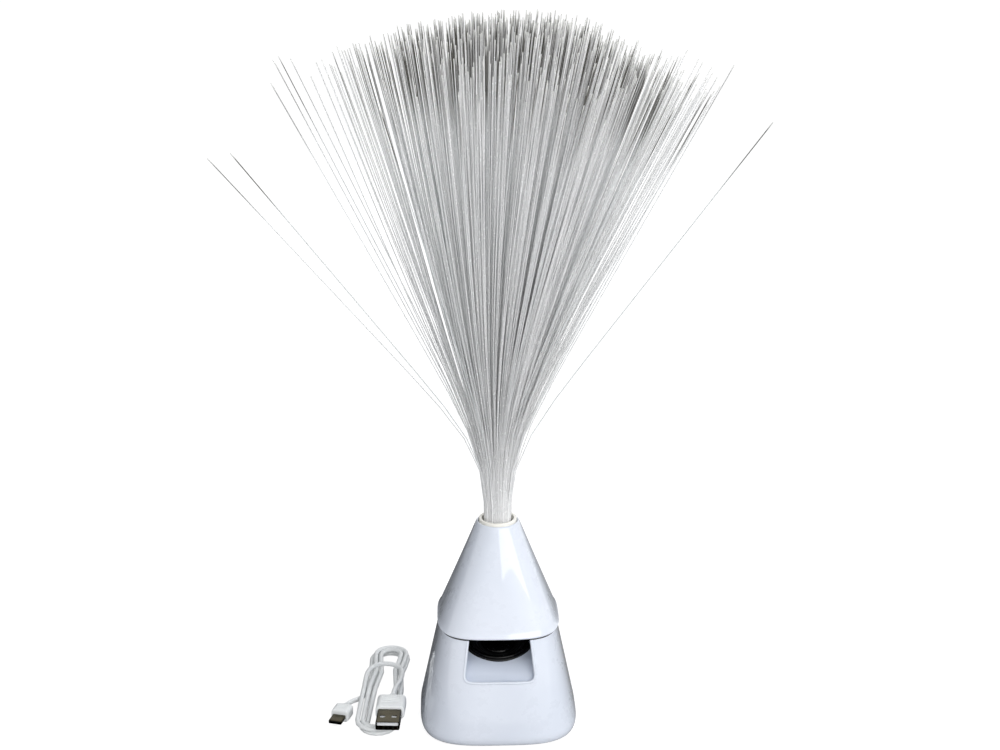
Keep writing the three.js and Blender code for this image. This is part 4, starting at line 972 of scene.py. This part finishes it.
# Plugs along Y with the cord's end at zero: each part's half sizes, corner and ends
USB = dict(
    body=dict(half_x=7.3, half_z=USB_HALF_Z, corner=2.4, y0=-17, y1=-4, edge=1.0),
    grips=dict(count=4, first=-7.2, pitch=1.6, half_x=4.6, half_y=0.35, depth=0.3),
    shell=dict(half_x=6, half_z=2.25, corner=0.8, wall=0.4, y0=-30.3, y1=-17.3),
    tongue=dict(half_x=5.3, half_z=0.95, corner=0.2, y0=-29.3, y1=-18.0, z=0.6, edge=0.15),
    neck=dict(radius=2.1, end_radius=3.6, length=4.2, ribs=3, sink=0.8),
)
MICRO = dict(
    body=dict(half_x=4.6, half_z=MICRO_HALF_Z, corner=1.8, y0=-11, y1=-3, edge=0.8),
    grips=dict(count=3, first=-5.4, pitch=1.3, half_x=2.6, half_y=0.28, depth=0.25),
    shell=dict(half_x=3.4, half_z=0.95, corner=0.45, wall=0.3, y0=-17.8, y1=-11.3),
    tongue=dict(half_x=2.8, half_z=0.3, corner=0.1, y0=-17, y1=-11.9, z=0.05, edge=0.08),
    neck=dict(radius=1.9, end_radius=3.1, length=3.2, ribs=3, sink=0.6),
)
WINDOW_X, WINDOW_HALF, WINDOW_FROM, WINDOW_TO = 2.9, 1.25, -25.6, -23.2
CONTACT_XS, INNER_SHORTER = (-3.5, -1.0, 1.0, 3.5), 0.8


def plug_pieces(kind, sizes):
    """A moulding with grips on both faces, a metal shell, the tongue in it and a ribbed neck."""
    moulding, grips = bar(f"{kind}_moulding", **sizes["body"]), sizes["grips"]
    half_y, depth = grips["half_y"], grips["depth"]
    for side in (1, -1):
        z = side * sizes["body"]["half_z"]
        for i in range(grips["count"]):
            y = grips["first"] - i * grips["pitch"]
            cut(moulding, block("grip", grips["half_x"], y - half_y, y + half_y, z - depth, z + depth))
    shell = folded_shell(f"{kind}_shell", **sizes["shell"])
    tongue = bar(f"{kind}_tongue", **sizes["tongue"])
    return [moulding, shell, tongue, ribbed_neck(f"{kind}_neck", **sizes["neck"])]


def set_plug(tail, pieces, looks, nodes):
    """Puts a plug at the end of its tail, where its pieces stand for the solid ones."""
    matrix = plug_place(tail)
    for piece, look in zip(pieces, looks):
        place(piece, matrix)
        dress(piece, look)
    for piece, node in zip(pieces, nodes):
        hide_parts(node)
    return pieces


def make_usb_plug():
    pieces = plug_pieces("usb", USB)
    for x in (-WINDOW_X, WINDOW_X):
        cut(pieces[1], block("window", WINDOW_HALF, WINDOW_FROM, WINDOW_TO, -OVERRUN, OVERRUN, x))
    for i, x in enumerate(CONTACT_XS):
        start = -29.0 + (INNER_SHORTER if 0 < i < 3 else 0)
        strip = bar(f"usb_contact_{i + 1}", 0.55, 0.08, 0.05, start, -20, z=-0.4)
        place(strip, move((x, 0, 0)))
        pieces.append(strip)
    return set_plug(USB_TAIL, pieces, ["cord", "plug_metal", "plug_tongue", "cord"] + ["copper"] * 4,
                    ("usb_plug_body", "usb_plug_shell", "usb_plug_tongue"))


def make_micro_plug():
    return set_plug(MICRO_TAIL, plug_pieces("micro", MICRO), ["cord", "plug_metal", "black_plastic", "cord"],
                    ("micro_plug_body", "micro_plug_shell", "micro_plug_tongue"))


def make_lead():
    line = cord_line()
    curve = bpy.data.curves.new("charging_cord", "CURVE")
    curve.dimensions = "3D"
    curve.bevel_depth = CORD / 2 * MM
    curve.bevel_resolution = 4
    curve.use_fill_caps = True
    spline = curve.splines.new("POLY")
    spline.points.add(len(line) - 1)
    for point, centre in zip(spline.points, line):
        point.co = (*(centre * MM), 1)
    spline.use_smooth = True
    cord = add("charging_cord", curve)
    dress(cord, "cord")
    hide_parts("cable_hank", "cable_to_usb_plug", "cable_to_micro_plug")
    plugs = make_usb_plug() + make_micro_plug()


make_lead()


# Fibres

FIBRES, FIBRE_RADIUS, FIBRE_LENGTH, ROOT_DEPTH = 1000, 0.25, 250, 0.8
FIBRE_RINGS, FIBRE_SIDES, RING_POWER, WALK = 11, 5, 1.3, 2.0
FAN_RADIUS, SPREAD, LEAN = 6.4, 17.3, 6.0
BEND_LENGTH, BEND_POWER, LEAN_LENGTH = 41, 1.8, 90
LOOSE_SHARE, LOOSE_FROM, LOOSE_SPREAD, LOOSE_SIDE = 0.22, 0.6, 26.0, 2.0
DROP, DROP_RIGHT = 0.045, 0.045
# Edge fibres get a pale tone, painted light for the bright backdrop seen through them; the tone falls
# towards the back, painted shade for the front fibres' shadow.
PALE_LEFT, PALE_RIGHT, PALE_BLUR, PALE_RING = 0.25, 0.32, 0.05, 8
TONE, TONE_BACK_SHADE, TONE_PALE, TONE_STRAY, TONE_SPREAD = 0.62, 0.45, 1.3, 0.45, 0.3

# Fibres that stray from the bundle: direction round the axis and lean, both in degrees
STRAY_RADIUS = 6.5
STRAYS = [
    (-146, 41), (-141.5, 39.5), (-155, 28.5), (178, 26.5), (165, 27.5), (-30, 36), (-38.5, 29.5), (-43, 30),
    (-72, 31), (-116, 30), (5, 29), (42, 30), (69, 29), (99, 32), (124, 29), (148, 31),
]


def fibre_line(x, y, direction, spread, lean, length, sway):
    """A fibre's centres from its root up: it leans out by its spread and to the right by its lean."""
    point = Vector((x, y, POT_TOP - ROOT_DEPTH))
    out = Vector((cos(direction), sin(direction), 0))
    side = Vector((-out.y, out.x, 0))
    line = []
    total = length + ROOT_DEPTH
    done = 0.0
    for i in range(FIBRE_RINGS):
        goal = total * (i / (FIBRE_RINGS - 1)) ** RING_POWER
        while done < goal - 1e-6:
            step = min(WALK, goal - done)
            middle = done + step / 2
            angle = spread * (1 - exp(-((middle / BEND_LENGTH) ** BEND_POWER)))
            shift = lean * (1 - exp(-((middle / LEAN_LENGTH) ** 2)))
            drift = sway * (done / total)
            point = point + step * (out * sin(angle) + side * sin(drift)
                                    + Vector((sin(shift), 0, cos(angle) * cos(shift))))
            done += step
        line.append(point.copy())
    return line


def fibre_skin(line, radius, turn):
    start = Vector((cos(turn), sin(turn), 0))
    rings = []
    for point, ahead in zip(line, directions(line)):
        across = ahead.cross(start).normalized()
        rings.append(ring_round(point, across, ahead.cross(across), radius, FIBRE_SIDES))
    return loft(rings)


def fan_fibre(i, chance):
    """A fibre's root, line and middle tone. Front and edge ones are paler, as photographed: the back ones
    darker as painted shade for the front ones' shadow, the edge ones pale as painted light for the bright
    backdrop seen through them.
    """
    share = sqrt((i + 0.5) / FIBRES)
    angle = (i + 0.5) * pi * (3 - sqrt(5))
    x, y = FAN_RADIUS * share * cos(angle), FAN_RADIUS * share * sin(angle)
    spread = radians(SPREAD) * min(1.03, share * chance.uniform(0.93, 1.05))
    if share > LOOSE_FROM and chance.random() < LOOSE_SHARE / (1 - LOOSE_FROM ** 2):
        spread = radians(chance.uniform(SPREAD, LOOSE_SPREAD - LOOSE_SIDE * cos(angle)))
    drop = (DROP + DROP_RIGHT * cos(angle)) * share ** 2
    length = FIBRE_LENGTH * chance.uniform(0.98, 1.008) * (1 - drop)
    sway = radians(chance.gauss(0, 1.2))
    line = fibre_line(x, y, angle + chance.gauss(0, 0.03), spread, radians(LEAN), length, sway)
    slope = (line[PALE_RING].x - x) / (line[PALE_RING].z - POT_TOP)
    pale = smoothstep(PALE_LEFT - PALE_BLUR, PALE_LEFT + PALE_BLUR, -slope)
    pale += smoothstep(PALE_RIGHT - PALE_BLUR, PALE_RIGHT + PALE_BLUR, slope)
    # Painted shade: the further back a fibre's root, the darker its tone.
    middle = TONE - TONE_BACK_SHADE * y / FAN_RADIUS
    return x, y, line, middle + (TONE_PALE - middle) * pale


def stray_fibre(direction, lean):
    angle = radians(direction)
    x, y = STRAY_RADIUS * cos(angle), STRAY_RADIUS * sin(angle)
    return x, y, fibre_line(x, y, angle, radians(lean), 0, FIBRE_LENGTH, 0), TONE_STRAY


def make_fibres():
    chance = random.Random(7)
    fibres = [fan_fibre(i, chance) for i in range(FIBRES)]
    fibres += [stray_fibre(direction, lean) for direction, lean in STRAYS]
    groups = {}
    for x, y, line, middle in fibres:
        place_name = f"{'back' if y > 0 else 'front'}_{'right' if x > 0 else 'left'}"
        tone = min(1, max(0, chance.gauss(middle, TONE_SPREAD)))
        points, faces = fibre_skin(line, FIBRE_RADIUS * chance.uniform(0.92, 1.08), chance.uniform(0, pi))
        all_points, all_faces, tones, alongs = groups.setdefault(place_name, ([], [], [], []))
        offset = len(all_points)
        all_points.extend(points)
        all_faces.extend(tuple(v + offset for v in face) for face in faces)
        tones.extend([tone] * len(points))
        alongs.extend(i // FIBRE_SIDES / (FIBRE_RINGS - 1) for i in range(len(points)))
    for place_name, (points, faces, tones, alongs) in groups.items():
        strands = new_object(f"strands_{place_name}", points, faces, sharp=60)
        for label, values in (("tone", tones), ("along", alongs)):
            strands.data.attributes.new(label, "FLOAT", "POINT").data.foreach_set("value", values)
        dress(strands, "fibres", body="fibre_bundle")
        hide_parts(f"fibres_{place_name}")


def make_resin():
    """The resin that holds the fibres' lower ends, with a slight dish at its top."""
    radius, chamfer, edge, crown, dish = 6.8, 0.5, 0.4, 4, 0.1
    profile = [(0, POT_BOTTOM), (radius - chamfer, POT_BOTTOM), (radius, POT_BOTTOM + chamfer),
               (radius, POT_TOP - chamfer)]
    profile += arc(radius - edge, POT_TOP - chamfer, edge, 0, 90, 3)
    profile += [(crown, POT_TOP), (0, POT_TOP - dish)]
    dress(turned("fibre_resin", profile, 64, closed=False), "resin", "fibre_bundle")


make_fibres()
make_resin()


# Looks of the solids, of which those that no piece stands for are seen

for part in frame["record"]["subparts"]:
    for material_slot in frame["nodes"][part["node"]].material_slots:
        material_slot.material = LOOKS[part["material_slot"]]


# Stage and light

def empty_tree(owner):
    owner.use_nodes = True
    owner.node_tree.nodes.clear()
    return Tree(owner.node_tree)


def show(tree, output, lit, seen):
    """One shader for rays that light things, another for what is seen straight, in a gloss or through."""
    path = tree.node("LightPath").outputs
    behind = path["Is Camera Ray"]
    for name in ("Is Glossy Ray", "Is Transmission Ray"):
        behind = tree.node("Math", {0: behind, 1: path[name]}, operation="MAXIMUM").outputs[0]
    mix = tree.node("MixShader", {0: behind, 1: lit, 2: seen})
    tree.node(output, {"Surface": mix.outputs[0]})


def panel(name, material, width, depth):
    corners = [(x * width / 2, y * depth / 2, 0) for x, y in ((-1, -1), (1, -1), (1, 1), (-1, 1))]
    mesh = bpy.data.meshes.new(name)
    mesh.from_pydata(corners, [], [(0, 1, 2, 3)])
    mesh.materials.append(material)
    obj = add(name, mesh)
    return obj


def make_floor():
    """A floor just under the base, which is lit softly and looks white."""
    material = bpy.data.materials.new("floor")
    tree = empty_tree(material)
    lit = tree.node("BsdfDiffuse", {"Color": grey(0.6)}).outputs[0]
    glow = tree.node("Emission", {"Strength": 0.88}).outputs[0]
    shaded = tree.node("BsdfDiffuse", {"Color": grey(0.3)}).outputs[0]
    seen = tree.node("AddShader", {0: glow, 1: shaded}).outputs[0]
    show(tree, "OutputMaterial", lit, seen)
    panel("floor", material, 16, 16).location.z = -0.0001


def make_world():
    """White to look at. Its light is stronger from the right and weaker from behind."""
    world = bpy.data.worlds.new("studio")
    scene.world = world
    tree = empty_tree(world)
    sky = tree.node("TexCoord").outputs["Generated"]
    way = tree.node("SeparateXYZ", {0: sky}).outputs
    across = tree.mapped(way["X"], -0.9, 0.6, 0.36, 0.76, interpolation_type="SMOOTHSTEP")
    back = tree.mapped(way["Y"], 0.0, 0.9, 1.0, 0.5, interpolation_type="SMOOTHSTEP")
    level = tree.node("Math", {0: across, 1: back}, operation="MULTIPLY").outputs[0]
    lit = tree.node("Background", {"Color": (0.95, 0.97, 1.0, 1), "Strength": level}).outputs[0]
    white = tree.node("Background", {"Color": grey(1), "Strength": 1.0}).outputs[0]
    show(tree, "OutputWorld", lit, white)


def area(name, location, target, size, size_y, power, roll=0.0, glossy=False):
    data = bpy.data.lights.new(name, "AREA")
    data.shape = "RECTANGLE"
    data.size, data.size_y = size, size_y
    data.energy = power
    light = add(name, data)
    light.location = location
    facing = (Vector(target) - Vector(location)).to_track_quat("-Z", "Y").to_matrix()
    light.rotation_euler = (facing @ Matrix.Rotation(radians(roll), 3, "Z")).to_euler()
    light.visible_camera = False
    light.visible_glossy = glossy


def card(name, location, target, width, height, tone):
    """A dark or grey card that only reflections show."""
    material = bpy.data.materials.new(name)
    material.use_nodes = True
    shader = material.node_tree.nodes["Principled BSDF"].inputs
    shader["Base Color"].default_value = grey(tone)
    shader["Roughness"].default_value = 1.0
    obj = panel(name, material, width, height)
    obj.location = location
    obj.rotation_euler = (Vector(target) - Vector(location)).to_track_quat("-Z", "Y").to_euler()
    obj.visible_camera = False
    obj.visible_diffuse = False
    obj.visible_transmission = False
    obj.visible_shadow = False


make_floor()
make_world()
area("key", (0.53, -0.90, 0.715), (0, 0, 0.715), 1.05, 0.52, 6.1, roll=1.0, glossy=True)
area("front", (-0.35, -1.0, 0.70), (0, 0, 0.15), 0.6, 0.4, 2.4)
area("side", (1.1, -0.35, 0.45), (0, 0, 0.20), 0.4, 0.5, 2.0)
area("back", (0.15, 1.25, 0.70), (0, 0, 0.15), 1.0, 0.8, 3.5)
card("flag_left", (-0.55, 0.45, 0.25), (0, 0, 0.25), 0.9, 0.5, 0.02)
card("card_left", (-0.28, 0.16, 0.0006), (-0.28, 0.16, -1), 0.56, 0.68, 0.02)
card("card_right", (0.28, 0.17, 0.0006), (0.28, 0.17, -1), 0.56, 0.66, 0.25)
